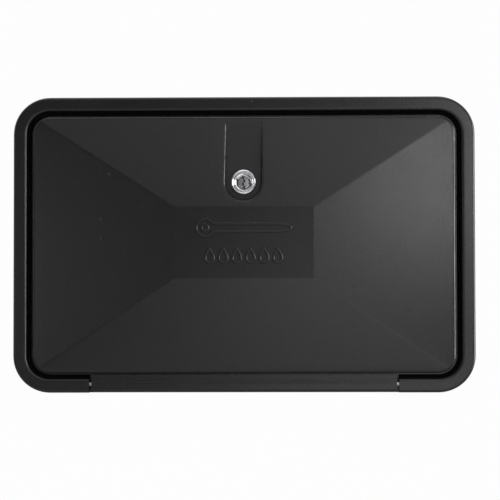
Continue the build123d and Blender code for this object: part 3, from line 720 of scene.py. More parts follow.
def shade(piece: Piece, sharp_from: float = SHARP_FROM) -> None:
    """Shades a piece smoothly, apart from its sharp edges.

    Args:
        piece: The piece.
        sharp_from: The angle in degrees past which an edge stays sharp.
    """
    mesh = piece.data
    mesh.polygons.foreach_set("use_smooth", np.ones(len(mesh.polygons), dtype=bool))
    mesh.set_sharp_from_angle(angle=math.radians(sharp_from))
    normals = piece.modifiers.new("Even shading", "WEIGHTED_NORMAL")
    normals.keep_sharp = True


def new_piece(name: str, points: np.ndarray, faces: np.ndarray) -> Piece:
    """Makes a piece from its points and the corner numbers of its faces.

    Args:
        name: The piece's name.
        points: Its points, one to a line.
        faces: The corner numbers of its faces, one face to a line.

    Returns:
        The piece, linked to the scene.
    """
    mesh = bpy.data.meshes.new(name)
    mesh.from_pydata(points.tolist(), [], faces.tolist())
    piece = bpy.data.objects.new(name, mesh)
    bpy.context.scene.collection.objects.link(piece)
    return piece


def ring_surface(
    name: str, points: np.ndarray, rows_close: bool = False, sharp_from: float = SHARP_FROM
) -> Piece:
    """Makes a piece from a grid of points whose columns run round in a ring.

    Points that coincide, as at a pole, are joined, and the faces are turned to point outwards.

    Args:
        name: The piece's name.
        points: The grid, rows by columns by 3.
        rows_close: Whether the last row joins the first.
        sharp_from: The angle in degrees past which an edge stays sharp.

    Returns:
        The piece.
    """
    rows, columns = points.shape[:2]
    piece = new_piece(name, points.reshape(-1, 3), grid_faces(rows, columns, rows_close))
    shell = bmesh.new()
    shell.from_mesh(piece.data)
    bmesh.ops.remove_doubles(shell, verts=shell.verts, dist=JOINED)
    bmesh.ops.recalc_face_normals(shell, faces=shell.faces)
    shell.to_mesh(piece.data)
    shell.free()
    shade(piece, sharp_from)
    return piece


def plate(name: str, low: np.ndarray, high: np.ndarray) -> Piece:
    """Makes a box-shaped piece.

    Args:
        name: The piece's name.
        low: Its lowest corner.
        high: Its highest corner.

    Returns:
        The piece.
    """
    points = np.stack(np.meshgrid(*zip(low, high), indexing="ij"), axis=-1).reshape(-1, 3)
    faces = [(0, 1, 3, 2), (4, 6, 7, 5), (0, 4, 5, 1), (2, 3, 7, 6), (0, 2, 6, 4), (1, 5, 7, 3)]
    piece = new_piece(name, points, np.array(faces))
    shade(piece)
    return piece


def welded(node: str) -> tuple[np.ndarray, np.ndarray]:
    """Joins the loose triangles of a CAD node at their shared corners.

    Args:
        node: The node's name.

    Returns:
        The points and the triangles' corner numbers.
    """
    mesh = frame["nodes"][node].data
    loose = np.empty(3 * len(mesh.vertices))
    mesh.vertices.foreach_get("co", loose)
    corners = np.empty(len(mesh.loops), dtype=np.int32)
    mesh.loops.foreach_get("vertex_index", corners)
    micron = 1e-6
    places = loose.reshape(-1, 3)
    keys = np.round(places / micron).astype(np.int64)
    _, first, number = np.unique(keys, axis=0, return_index=True, return_inverse=True)
    triangles = number.reshape(-1)[corners].reshape(-1, 3)
    a, b, c = triangles.T
    return places[first], triangles[(a != b) & (b != c) & (c != a)]


def turned(
    centre: np.ndarray, way: Way, radius: np.ndarray, height: np.ndarray, angle: np.ndarray
) -> np.ndarray:
    """Places points round an axis: centre + height along it + radius at an angle about it.

    Args:
        centre: A point on the axis.
        way: The axis's direction.
        radius: Distance from the axis, for each row and column.
        height: Distance along the axis, for each row and column.
        angle: Angle about the axis in radians, for each column.

    Returns:
        The points, rows by columns by 3.
    """
    along = np.array(way.value)
    first = np.array((1.0, 0.0, 0.0)) if way is Way.DOWN else np.array((0.0, 0.0, 1.0))
    second = np.cross(along, first)
    radius, height, angle = np.broadcast_arrays(radius, height, angle)
    round_axis = np.cos(angle)[..., None] * first + np.sin(angle)[..., None] * second
    return centre + height[..., None] * along + radius[..., None] * round_axis


@dataclass(frozen=True)
class Thread:
    """A right-handed screw thread on a round core, as a closed sleeve.

    Attributes:
        crest: Radius at the crest.
        root: Radius at the root.
        pitch: Distance from crest to crest.
        flat: Half the distance across a pair of flats, or 0 for none.
        steps_to_pitch: How many rows of points there are to a pitch.
        steps_round: How many points there are to a turn.
        sleeve: How far the sleeve reaches in under the root.
        slope: How steep the ridge's sides are. Higher is steeper.
        groove: How wide the groove's floor is. Higher is wider.
        fade_turns: Turns over which the ridge fades out at either end.
        near_crest: How near to the crest a core's point must lie to be taken in.
        under_root: How far under the root it is taken.
        end_spare: How far past the thread's end a core is still taken in.
    """

    crest: float
    root: float
    pitch: float
    flat: float = 0.0
    steps_to_pitch: int = 12
    steps_round: int = 96
    sleeve: float = 0.5 * MM
    slope: float = 1.5
    groove: float = 0.25
    fade_turns: float = 0.5
    near_crest: float = 0.03 * MM
    under_root: float = 0.05 * MM
    end_spare: float = 0.7 * MM

    def surface(self, name: str, centre: np.ndarray, way: Way, length: float) -> Piece:
        """Builds the thread from a point on its axis.

        The phase is height / pitch - angle / full turn. The ridge is a triangle wave of the phase,
        cut off at crest and root, and it fades out towards both ends. Flats cut it off at their
        distance divided by the angle's sine.

        Args:
            name: The piece's name.
            centre: The axis's point where the thread starts.
            way: The direction in which it runs.
            length: Its length.

        Returns:
            The piece.
        """
        rows = int(length / self.pitch * self.steps_to_pitch) + 1
        height = np.linspace(0.0, length, rows)[:, None]
        angle = np.linspace(0.0, math.tau, self.steps_round, endpoint=False)[None, :]
        phase = (height / self.pitch - angle / math.tau) % 1.0
        wave = 1.0 - np.abs(2.0 * phase - 1.0)
        ridge = np.clip(self.slope * wave - self.groove, 0.0, 1.0)
        to_end = np.minimum(height, length - height)
        fade = np.clip(to_end / (self.fade_turns * self.pitch), 0.0, 1.0)
        radius = self.root + (self.crest - self.root) * ridge * fade
        if self.flat:
            least_sine = 0.1
            radius = np.minimum(radius, self.flat / np.maximum(np.abs(np.sin(angle)), least_sine))
        inner = np.minimum(radius[:1], self.root) - self.sleeve
        radius = np.vstack([inner, radius, inner])
        height = np.vstack([height[:1], height, height[-1:]])
        return ring_surface(name, turned(centre, way, radius, height, angle), rows_close=True)

    def pull_in(self, points: np.ndarray, centre: np.ndarray, way: Way, length: float) -> None:
        """Moves a core's points from the crest's radius in to just under the root.

        Args:
            points: The core's points, which are changed.
            centre: The axis's point where the thread starts.
            way: The direction in which it runs.
            length: Its length.
        """
        along = np.array(way.value)
        reach = points - centre
        height = reach @ along
        outward = reach - height[:, None] * along
        radius = np.linalg.norm(outward, axis=1)
        held = np.abs(radius - self.crest) < self.near_crest
        held &= (height > -self.near_crest) & (height < length + self.end_spare)
        scale = (self.root - self.under_root) / np.where(held, radius, 1.0)
        points[held] = (centre + height[:, None] * along + outward * scale[:, None])[held]


# Half-inch pipe thread of the inlets, the outlet and the handset's tail
PIPE_THREAD = Thread(crest=10.45 * MM, root=9.5 * MM, pitch=1.814 * MM)


@dataclass(frozen=True)
class PanScrew:
    """A pan-head screw with a cross recess.

    Attributes:
        head_radius: Radius of the head.
        head_height: Height of the head.
        shank_radius: Radius of the shank.
        shank_length: Length under the head.
        slot_reach: Half the length of each slot of the cross.
        slot_width: Width of each slot.
        slot_depth: Depth of the cross.
        crown_fall: How far the crown falls to the edge, as a share of the head's height.
        edge_start: Where the head's rounded edge starts, as a share of its radius.
        edge_fall: How far the edge falls, as a share of the head's height.
        wall_run: How far the slots' walls slope.
        floor_rise: How far the cross's floor rises, as a share of its depth.
        tip_share: Radius and length of the tip as a share of the shank's radius.
        steps_out: How many points there are from the head's middle to its edge.
        steps_round: How many points there are to a turn.
    """

    head_radius: float
    head_height: float
    shank_radius: float
    shank_length: float
    slot_reach: float
    slot_width: float
    slot_depth: float
    crown_fall: float = 0.12
    edge_start: float = 0.8
    edge_fall: float = 0.45
    wall_run: float = 0.3
    floor_rise: float = 0.45
    tip_share: float = 0.4
    steps_out: int = 44
    steps_round: int = 96

    def surface(self, name: str, centre: np.ndarray, way: Way) -> Piece:
        """Builds the screw from the middle of its head's seat.

        The crown's height falls with the square of the distance from the middle, and over its
        outer fifth as a quarter circle. The cross is the nearer of two slots with sloped walls,
        and its floor rises towards its ends.

        Args:
            name: The piece's name.
            centre: The middle of the head's seat.
            way: The direction in which the head faces.

        Returns:
            The piece.
        """
        angle = np.linspace(0.0, math.tau, self.steps_round, endpoint=False)[None, :]
        share = np.linspace(0.0, 1.0, self.steps_out)[:, None]
        radius = share * self.head_radius
        edge = np.clip((share - self.edge_start) / (1.0 - self.edge_start), 0.0, 1.0)
        rounding = 1.0 - np.sqrt(1.0 - edge**2)
        crown = self.head_height * (1.0 - self.crown_fall * share**2 - self.edge_fall * rounding)
        across, up = radius * np.cos(angle), radius * np.sin(angle)
        slots = [
            np.maximum(np.abs(a) / (0.5 * self.slot_width), np.abs(b) / self.slot_reach)
            for a, b in ((across, up), (up, across))
        ]
        wall = np.clip((1.0 - np.minimum(*slots)) / self.wall_run + 0.5, 0.0, 1.0)
        floor = 1.0 - self.floor_rise * np.clip(radius / self.slot_reach, 0.0, 1.0) ** 2
        top = crown - self.slot_depth * wall * floor
        tip = self.tip_share * self.shank_radius
        end = -self.shank_length - tip
        below = np.array([(0.0, self.head_radius), (0.0, self.shank_radius)])
        shank = np.array([(-self.shank_length, self.shank_radius), (end, tip), (end, 0.0)])
        low = np.concatenate([below, shank])[:, :, None] * np.ones_like(angle)
        heights = np.vstack([top, low[:, 0]])
        radii = np.vstack([radius * np.ones_like(angle), low[:, 1]])
        return ring_surface(name, turned(centre, way, radii, heights, angle))


def rounded_path(half_x: float, half_z: float, radius: float) -> tuple[np.ndarray, np.ndarray]:
    """Walks round a rectangle with rounded corners, in the plane of X and Z.

    Each corner is a quarter circle about its own centre, and the straight sides join them.

    Args:
        half_x: Half its width.
        half_z: Half its height.
        radius: The corners' radius.

    Returns:
        The points and their outward directions, one to a line.
    """
    steps = 16
    quarter = np.linspace(0.0, 0.5 * math.pi, steps + 1)
    angle = (quarter[None, :] + 0.5 * math.pi * np.arange(4)[:, None]).reshape(-1)
    outward = np.stack([np.cos(angle), np.sin(angle)], axis=1)
    signs = np.repeat(np.array([(1, 1), (-1, 1), (-1, -1), (1, -1)]), steps + 1, axis=0)
    corner = signs * np.array([half_x - radius, half_z - radius])
    return corner + radius * outward, outward


def carried(
    path: np.ndarray, sideways: np.ndarray, across: np.ndarray, depth: np.ndarray
) -> np.ndarray:
    """Carries a section along a path: path + offset times the sideways direction, at a depth.

    Args:
        path: The path's points in X and Z.
        sideways: The sideways direction at each of them.
        across: The offset of each point of the section.
        depth: Its depth, which is its Y.

    Returns:
        The points, one row to each point of the path.
    """
    flat = path[:, None, :] + across[None, :, None] * sideways[:, None, :]
    depths = np.broadcast_to(depth[None, :], flat.shape[:2])
    return np.stack([flat[..., 0], depths, flat[..., 1]], axis=-1)


# Sub-assemblies

BODY_OF = {n: body for body, nodes in frame["record"]["behaviour"]["bodies"].items() for n in nodes}
SLOT_OF = {part["node"]: Slot(part["material_slot"]) for part in frame["record"]["subparts"]}


def middle_of(node: str) -> np.ndarray:
    """Gives the middle of a CAD node's box."""
    low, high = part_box(node)
    return (np.array(low) + np.array(high)) / 2


@dataclass
class Assembly:
    """A group of pieces and their finishes.

    Attributes:
        book: The finishes.
    """

    book: FinishBook

    def build(self) -> None:
        """Builds and dresses every piece."""
        raise NotImplementedError

    def place(self, piece: Piece, carrier: str, slot: Slot) -> Piece:
        """Gives a piece its finish and its body.

        Args:
            piece: The piece.
            carrier: The CAD node whose body it rides on.
            slot: Its finish.

        Returns:
            The piece.
        """
        piece.data.materials.append(self.book.material(slot))
        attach(piece, BODY_OF[carrier])
        log.info("%s: %d faces on %s", piece.name, len(piece.data.polygons), BODY_OF[carrier])
        return piece

    def stand_for(self, piece: Piece, node: str) -> Piece:
        """Puts a piece in the place of a CAD node, with the node's finish.

        Args:
            piece: The piece.
            node: The node.

        Returns:
            The piece.
        """
        self.place(piece, node, SLOT_OF[node])
        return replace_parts(piece, node)

    def finished(
        self, node: str, points: np.ndarray, triangles: np.ndarray, sharp_from: float = SHARP_FROM
    ) -> Piece:
        """Makes a node's smooth-shaded copy and puts it in the node's place.

        Args:
            node: The node.
            points: The copy's points.
            triangles: The corner numbers of its triangles.
            sharp_from: The angle in degrees past which an edge stays sharp.

        Returns:
            The copy.
        """
        piece = new_piece(node + "_finished", points, triangles)
        shade(piece, sharp_from)
        return self.stand_for(piece, node)

    def smooth(self, *nodes: str, sharp_from: float = SHARP_FROM) -> None:
        """Puts smooth-shaded copies in the place of CAD nodes.

        Args:
            *nodes: The nodes.
            sharp_from: The angle in degrees past which an edge stays sharp.
        """
        for node in nodes:
            self.finished(node, *welded(node), sharp_from)

    def threaded(
        self, node: str, thread: Thread, starts: dict[str, np.ndarray], way: Way, length: float
    ) -> None:
        """Puts a copy with real threads in the place of a CAD node.

        Args:
            node: The node.
            thread: The thread.
            starts: Where each thread starts on its axis, by the thread's name.
            way: The direction in which they run.
            length: Their length.
        """
        points, triangles = welded(node)
        for name, centre in starts.items():
            thread.pull_in(points, centre, way, length)
            self.place(thread.surface(name, centre, way, length), node, SLOT_OF[node])
        self.finished(node, points, triangles)


@dataclass
class WallBox(Assembly):
    """The tub with its flange and rim, the strike and the two hinge pins.

    Attributes:
        rim_half_x: Half the width of the rim's inside.
        rim_half_z: Half its height.
        rim_corner: Radius of its corners.
        rim_round: Radius of its rounded inner edge.
        round_steps: How many steps the rounding has.
        rim_cover: How far the rounded edge's flat reaches over the rim.
        rim_front: Depth of the rim's face.
        ledge_front: Depth of the ledge under the door's edge.
        foot: Height and width of the slope from the rim's wall down to the ledge.
        film: Thickness by which the rounded edge stands over the rim.
        notch_end: Half the length of the notch for the hinge.
        notch_low: Height of the notch's lower end.
        notch_high: Height of its upper end.
        web: Thickness of the web behind the notch.
    """

    rim_half_x: float = 152.3 * MM
    rim_half_z: float = 93.75 * MM
    rim_corner: float = 16.3 * MM
    rim_round: float = 2.2 * MM
    round_steps: int = 8
    rim_cover: float = 3.4 * MM
    rim_front: float = -11.0 * MM
    ledge_front: float = -3.0 * MM
    foot: float = 3.2 * MM
    film: float = 0.02 * MM
    notch_end: float = 108.5 * MM
    notch_low: float = -103.75 * MM
    notch_high: float = -92.9 * MM
    web: float = 0.4 * MM

    def build(self) -> None:
        """Builds and dresses every piece."""
        self.smooth("box_shell", "lock_strike", "left_hinge_pin", "right_hinge_pin")
        self.place(self.rim_edge(), "box_shell", Slot.BLACK_PLASTIC)
        self.place(self.notch_web(), "box_shell", Slot.BLACK_PLASTIC)

    def rim_edge(self) -> Piece:
        """Builds the rim's inner edge, carried round the door from one end of the notch to the other.

        Its section goes up the foot's slope and the wall, round a quarter circle and over the
        rim's face, and closes inside the rim. Each end closes on one point inside the section.

        Returns:
            The piece.
        """
        path, outward = rounded_path(self.rim_half_x, self.rim_half_z, self.rim_corner)
        first_corner = 3 * len(path) // 4
        path, outward = (np.roll(line, -first_corner, axis=0) for line in (path, outward))
        ends = np.array([(self.notch_end, -self.rim_half_z), (-self.notch_end, -self.rim_half_z)])
        path = np.vstack([ends[:1], path, ends[1:]])
        outward = np.vstack([outward[:1], outward, outward[-1:]])
        angle = np.linspace(0.0, 0.5 * math.pi, self.round_steps + 1)
        face, ledge = self.rim_front - self.film, self.ledge_front
        foot_inset, foot_depth = [-self.foot, 0.0], [ledge - self.film, ledge - self.foot]
        round_inset = self.rim_round * (1.0 - np.cos(angle))
        round_depth = face + self.rim_round * (1.0 - np.sin(angle))
        back_inset = [self.rim_cover, self.rim_cover, self.rim_round, -self.foot]
        back_depth = [face, face + 2 * self.rim_round, ledge + self.web, ledge + self.web]
        inset = np.concatenate([foot_inset, round_inset, back_inset])
        depth = np.concatenate([foot_depth, round_depth, back_depth])
        rows = carried(path, outward, inset, depth)
        closing = len(foot_inset) + 3 * self.round_steps // 4
        inside = rows[[0, -1], closing, None] + np.array([0.0, self.rim_round, 0.0])
        caps = np.broadcast_to(inside, (2, *rows.shape[1:]))
        return ring_surface("rim_inner_edge", np.concatenate([caps[:1], rows, caps[1:]]))

    def notch_web(self) -> Piece:
        """Builds the thin web behind the notch, a plain plate."""
        low = np.array([-self.notch_end, -self.web, self.notch_low])
        return plate("notch_web", low, np.array([self.notch_end, 0.0, self.notch_high]))


@dataclass
class Door(Assembly):
    """The faceted door, its seal and the raised sign on its panel.

    Attributes:
        seal_width: Width of the seal.
        seal_corner: Radius of the seal's middle line at the corners.
        seal_fullness: How full the seal's round side is. Lower is squarer.
        stroke_width: Width of the sign's raised strokes.
        stroke_height: Their height.
        stroke_foot: How far they reach into the panel.
        panel_floor: Depth of the panel they stand on.
        shower_length: Length of the drawn hand shower.
        shower_head: Radius of its head.
        shower_handle: Half the width of its handle.
        shower_rise: Height of its middle.
        shower_neck: How sharply head and handle meet. Higher is sharper.
        shower_end: How blunt the handle's end is. Higher is blunter.
        face_share: Radius of the circle in the head, as a share of the head's.
        drop_count: How many drops stand under it.
        drop_height: Height of a drop.
        drop_width: Width of a drop.
        drop_point: How long the drop's point is. Higher is longer.
        drop_swell: What makes up for the width that the point takes away.
        drops_length: Length of the row of drops.
        drops_rise: Height of the drops' middle.
        channel_half_width: Half the width of the lock's channel.
        channel_floor: Depth of its floor.
        channel_low: Height below which no face of the floor lies.
        channel_spare: How far from the floor's depth a face of it may lie.
        door_sharp: The angle in degrees past which the door's edges stay sharp.
    """

    seal_width: float = 5.6 * MM
    seal_corner: float = 13.0 * MM
    seal_fullness: float = 0.62
    stroke_width: float = 2.0 * MM
    stroke_height: float = 0.55 * MM
    stroke_foot: float = 0.12 * MM
    panel_floor: float = -19.4 * MM
    shower_length: float = 66.0 * MM
    shower_head: float = 6.0 * MM
    shower_handle: float = 2.7 * MM
    shower_rise: float = 11.4 * MM
    shower_neck: float = 5.0
    shower_end: float = 14.0
    face_share: float = 0.38
    drop_count: int = 6
    drop_height: float = 10.0 * MM
    drop_width: float = 6.4 * MM
    drop_point: float = 1.4
    drop_swell: float = 0.65
    drops_length: float = 54.0 * MM
    drops_rise: float = -7.8 * MM
    channel_half_width: float = 12.3 * MM
    channel_floor: float = -12.4 * MM
    channel_low: float = 26.0 * MM
    channel_spare: float = 0.05 * MM
    door_sharp: float = 24.0

    def build(self) -> None:
        """Builds and dresses every piece."""
        points, triangles = welded("door_panel")
        panel = self.finished("door_panel", points, triangles, self.door_sharp)
        self.etch_channel(panel, points[triangles].mean(axis=1))
        seal = self.stand_for(self.seal(), "door_seal")
        strokes = {"sign_shower": self.shower_outline(), "sign_shower_face": self.face_outline()}
        for number in range(self.drop_count):
            strokes[f"sign_drop_{number + 1}"] = self.drop_outline(number)
        for name, path in strokes.items():
            self.place(self.stroke(name, path), "door_panel", Slot.BLACK_PLASTIC)

    def etch_channel(self, panel: Piece, middles: np.ndarray) -> None:
        """Marks the faces of the lock's channel floor as more deeply etched.

        Args:
            panel: The door's finished copy.
            middles: The middles of its faces, one to a line.
        """
        inside = np.abs(middles[:, 0]) < self.channel_half_width
        inside &= np.abs(middles[:, 1] - self.channel_floor) < self.channel_spare
        inside &= middles[:, 2] > self.channel_low
        mask = panel.data.attributes.new(ETCHED, "FLOAT", "FACE")
        mask.data.foreach_set("value", inside.astype(np.float32))

    def seal(self) -> Piece:
        """Builds the seal: a flat back and a full round front, carried round the mouth.

        Across the section, offset is a power of the cosine and depth a power of the sine of an
        angle that runs over half a turn.

        Returns:
            The piece.
        """
        low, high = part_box("door_seal")
        half_x = 0.5 * (high[0] - low[0] - self.seal_width)
        half_z = 0.5 * (high[2] - low[2] - self.seal_width)
        path, outward = rounded_path(half_x, half_z, self.seal_corner)
        steps = 17
        angle = np.linspace(0.0, math.pi, steps)
        turn = np.cos(angle)
        across = 0.5 * self.seal_width * np.sign(turn) * np.abs(turn) ** self.seal_fullness
        rise = np.clip(np.sin(angle), 0.0, 1.0) ** self.seal_fullness
        points = carried(path, outward, across, low[1] + (high[1] - low[1]) * rise)
        return ring_surface("door_seal_sponge", points.swapaxes(0, 1), rows_close=True, sharp_from=50.0)

    def shower_outline(self) -> np.ndarray:
        """Outline of a hand shower that lies on its side, head to the left.

        Half its height at each place is a smooth maximum of the head's circle and of a handle
        whose end is rounded.

        Returns:
            The outline's points.
        """
        half, steps = 0.5 * self.shower_length, 90
        along = -half * np.cos(np.linspace(0.0, math.pi, steps))
        head_x = self.shower_head - half
        head = np.sqrt(np.clip(self.shower_head**2 - (along - head_x) ** 2, 0.0, None))
        run = np.clip((along - head_x) / (half - head_x), 0.0, 1.0)
        handle = self.shower_handle * np.sqrt(1.0 - run**self.shower_end) * (run > 0.0)
        height = (head**self.shower_neck + handle**self.shower_neck) ** (1.0 / self.shower_neck)
        upper = np.stack([along, height], axis=1)
        lower = np.stack([along[::-1], -height[::-1]], axis=1)[1:-1]
        return np.concatenate([upper, lower])[::-1] + np.array([0.0, self.shower_rise])

    def face_outline(self) -> np.ndarray:
        """Outline of the small circle in the head of the hand shower.

        Returns:
            The outline's points.
        """
        steps = 32
        angle = np.linspace(0.0, math.tau, steps, endpoint=False)
        centre = np.array([self.shower_head - 0.5 * self.shower_length, self.shower_rise])
        radius = self.face_share * self.shower_head
        return centre + radius * np.stack([np.cos(angle), np.sin(angle)], axis=1)

    def drop_outline(self, number: int) -> np.ndarray:
        """Outline of one drop, point up.

        Its width is the sine of an angle times a power of the half angle's sine, and its height
        the angle's cosine.

        Args:
            number: The drop's number from the left.

        Returns:
            The outline's points.
        """
        steps = 48
        angle = np.linspace(0.0, math.tau, steps, endpoint=False) + math.pi / steps
        taper = np.abs(np.sin(0.5 * angle)) ** self.drop_point
        width = self.drop_swell * self.drop_width * np.sin(angle) * taper
        height = 0.5 * self.drop_height * np.cos(angle)
        pitch = (self.drops_length - self.drop_width) / (self.drop_count - 1)
        start = 0.5 * (self.drop_width - self.drops_length)
        return np.stack([width, height], axis=1) + np.array([start + pitch * number, self.drops_rise])

    def stroke(self, name: str, path: np.ndarray) -> Piece:
        """Raises a stroke along a closed path on the panel.

        Its height across the width is the stroke's height times 1 - (offset / half width)^4.

        Args:
            name: The piece's name.
            path: The path's points in X and Z.

        Returns:
            The piece.
        """
        step = np.roll(path, -1, axis=0) - np.roll(path, 1, axis=0)
        step /= np.linalg.norm(step, axis=1, keepdims=True)
        sides = np.stack([-step[:, 1], step[:, 0]], axis=1)
        steps = 9
        share = np.linspace(-1.0, 1.0, steps)
        rise = np.append(self.stroke_height * (1.0 - share**4), [-self.stroke_foot, -self.stroke_foot])
        across = 0.5 * self.stroke_width * np.append(share, [1.0, -1.0])
        points = carried(path, sides, across, self.panel_floor - rise)
        return ring_surface(name, points, rows_close=True, sharp_from=40.0)


@dataclass
class KeyLock(Assembly):
    """The cylinder lock with its cam.

    Attributes:
        thread: The barrel's thread, which its flats cut off.
        screw: The screw that holds the cam.
        head_height: Height of the lock's head over the channel's floor.
        end_gap: How far the thread stops short of the barrel's end.
        bezel_outer: Outer radius of the bezel's polished ring.
        bezel_inner: Its inner radius.
        bezel_bulge: How far it bulges.
        lip_outer: Outer radius of the thin ring round the plug.
        lip_inner: Its inner radius.
        lip_bulge: How far it bulges.
        ring_sink: How far the rings' edges lie under the face, as a share of the bulge.
        ring_foot: How far the rings reach into the barrel.
        shade_plate_depth: Depth and thickness of the black plate behind the keyway, which is painted
            shade inside the keyway.
        shade_plate_half: Half its width and height.
        lock_sharp: The angle in degrees past which the lock's edges stay sharp.
    """

    thread: Thread = Thread(crest=7.9 * MM, root=7.4 * MM, pitch=1.0 * MM, flat=6.8 * MM)
    screw: PanScrew = PanScrew(
        head_radius=4.0 * MM,
        head_height=3.0 * MM,
        shank_radius=2.0 * MM,
        shank_length=8.0 * MM,
        slot_reach=2.2 * MM,
        slot_width=1.0 * MM,
        slot_depth=1.5 * MM,
    )
    head_height: float = 2.4 * MM
    end_gap: float = 0.2 * MM
    bezel_outer: float = 8.5 * MM
    bezel_inner: float = 7.2 * MM
    bezel_bulge: float = 0.35 * MM
    lip_outer: float = 6.75 * MM
    lip_inner: float = 6.15 * MM
    lip_bulge: float = 0.15 * MM
    ring_sink: float = 0.1
    ring_foot: float = 0.8 * MM
    shade_plate_depth: float = 0.6 * MM
    shade_plate_half: tuple[float, float] = (1.05 * MM, 4.6 * MM)
    lock_sharp: float = 30.0

    def build(self) -> None:
        """Builds and dresses every piece."""
        self.smooth("lock_plug", "lock_washer", "lock_nut", "lock_cam", sharp_from=self.lock_sharp)
        x, _, z = middle_of("lock_plug")
        (_, front, _), (_, back, _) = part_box("lock_barrel")
        bezel = self.bezel(np.array([x, front, z]))
        self.place(bezel, "lock_barrel", Slot.LOCK_CHROME)
        # A black plate behind the keyway stands for the shade inside it: painted shade.
        keyway_shade_plate = self.keyway_shade_plate(np.array([x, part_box("lock_plug")[0][1], z]))
        self.place(keyway_shade_plate, "lock_plug", Slot.BLACK_PLASTIC)
        head_back = front + self.head_height
        nut_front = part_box("lock_nut")[0][1]
        points, triangles = welded("lock_barrel")
        self.thread.pull_in(points, np.array([x, head_back, z]), Way.IN, back - head_back)
        self.finished("lock_barrel", points, triangles, self.lock_sharp)
        start, length = np.array([x, nut_front, z]), back - nut_front - self.end_gap
        ridge = self.thread.surface("lock_barrel_thread", start, Way.IN, length)
        self.place(ridge, "lock_barrel", Slot.LOCK_CHROME)
        seat = np.array([x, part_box("lock_cam")[1][1], z])
        self.stand_for(self.screw.surface("cam_screw_finished", seat, Way.IN), "cam_screw")

    def bezel(self, centre: np.ndarray) -> Piece:
        """Builds the bezel's two polished rings, whose height is a sine across each ring.

        Args:
            centre: The middle of the lock's face.

        Returns:
            The piece.
        """
        rings = (
            (self.bezel_outer, self.bezel_inner, self.bezel_bulge),
            (self.lip_outer, self.lip_inner, self.lip_bulge),
        )
        steps_across, steps_round = 13, 128
        share = np.linspace(0.0, 1.0, steps_across)
        radii = [outer + (inner - outer) * share for outer, inner, _ in rings]
        heights = [bulge * (np.sin(math.pi * share) - self.ring_sink) for _, _, bulge in rings]
        radius = np.concatenate([*radii, [self.lip_inner, self.bezel_outer]])[:, None]
        height = np.concatenate([*heights, [-self.ring_foot, -self.ring_foot]])[:, None]
        angle = np.linspace(0.0, math.tau, steps_round, endpoint=False)[None, :]
        points = turned(centre, Way.OUT, radius, height, angle)
        return ring_surface("lock_bezel_rings", points, rows_close=True)

    def keyway_shade_plate(self, centre: np.ndarray) -> Piece:
        """Builds a black plate behind the keyway, a plain plate that is painted shade inside the
        keyway.

        Args:
            centre: The middle of the plug's face.

        Returns:
            The piece.
        """
        half_x, half_z = self.shade_plate_half
        low = centre + np.array([-half_x, self.shade_plate_depth, -half_z])
        high = centre + np.array([half_x, 2 * self.shade_plate_depth, half_z])
        return plate("keyway_painted_shade", low, high)


@dataclass
class MixingValve(Assembly):
    """The valve body with its inlets, nuts and washers, the vacuum breaker and the hose outlet.

    Attributes:
        thread: Thread of the inlets and the outlet.
        inlet_length: Length of an inlet's thread.
        inlet_chamfer: Length of the chamfer at its end.
        outlet_length: Length of the outlet's thread.
        outlet_reach: Length of the outlet below its hexagon.
    """

    thread: Thread = PIPE_THREAD
    inlet_length: float = 18.0 * MM
    inlet_chamfer: float = 1.0 * MM
    outlet_length: float = 11.8 * MM
    outlet_reach: float = 12.0 * MM

    def build(self) -> None:
        """Builds and dresses every piece."""
        self.smooth("vacuum_breaker")
        inlet_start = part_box("valve_body")[1][1] - self.inlet_chamfer - self.inlet_length
        starts = {}
        fittings = ("shank_washer", "shank_nut", "cartridge", "bonnet_nut")
        for side in Side:
            self.smooth(*(f"{side.value}_{fitting}" for fitting in fittings))
            x, _, z = middle_of(f"{side.value}_shank_washer")
            starts[f"{side.value}_inlet_thread"] = np.array([x, inlet_start, z])
        self.threaded("valve_body", self.thread, starts, Way.IN, self.inlet_length)
        x, y, _ = middle_of("hose_nipple")
        start = {"outlet_thread": np.array([x, y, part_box("hose_nipple")[0][2] + self.outlet_reach])}
        self.threaded("hose_nipple", self.thread, start, Way.DOWN, self.outlet_length)


@dataclass
class Handle(Assembly):
    """One of the valve's two handles.

    Attributes:
        side: The side that it opens.
    """

    side: Side

    def build(self) -> None:
        """Builds and dresses every piece."""
        for part in ("stem", "knob", "knob_screw", "index_cap"):
            self.smooth(f"{self.side.value}_{part}")


@dataclass
class Handset(Assembly):
    """The hand shower with its spray face and its sliding flow button.

    Attributes:
        thread: Thread of its tail.
        tail_length: Length of the tail past its collar.
        end_gap: How far the thread stops short of the tail's end.
    """

    thread: Thread = PIPE_THREAD
    tail_length: float = 13.0 * MM
    end_gap: float = 0.2 * MM

    def build(self) -> None:
        """Builds and dresses every piece."""
        self.smooth("handset_body", "spray_face", "spray_ring", "flow_button")
        _, y, z = middle_of("handset_tail")
        start = {"handset_thread": np.array([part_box("handset_tail")[1][0] - self.tail_length, y, z])}
        self.threaded("handset_tail", self.thread, start, Way.RIGHT, self.tail_length - self.end_gap)


@dataclass
class HandsetClip(Assembly):
    """The handset's clip and its two screws.

    Attributes:
        screw: The screws.
        screw_offset: Distance of each screw from the clip's middle.
    """

    screw: PanScrew = PanScrew(
        head_radius=3.5 * MM,
        head_height=2.2 * MM,
        shank_radius=1.9 * MM,
        shank_length=9.5 * MM,
        slot_reach=1.9 * MM,
        slot_width=0.9 * MM,
        slot_depth=1.2 * MM,
    )
    screw_offset: float = 17.0 * MM

    def build(self) -> None:
        """Builds and dresses every piece."""
        self.smooth("handset_clip")
        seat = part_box("clip_screws")[0][1] + self.screw.head_height
        x, _, z = middle_of("handset_clip")
        for name, side in (("upper_clip_screw", 1), ("lower_clip_screw", -1)):
            centre = np.array([x, seat, z + side * self.screw_offset])
            self.stand_for(self.screw.surface(name, centre, Way.OUT), "clip_screws")


# Studio


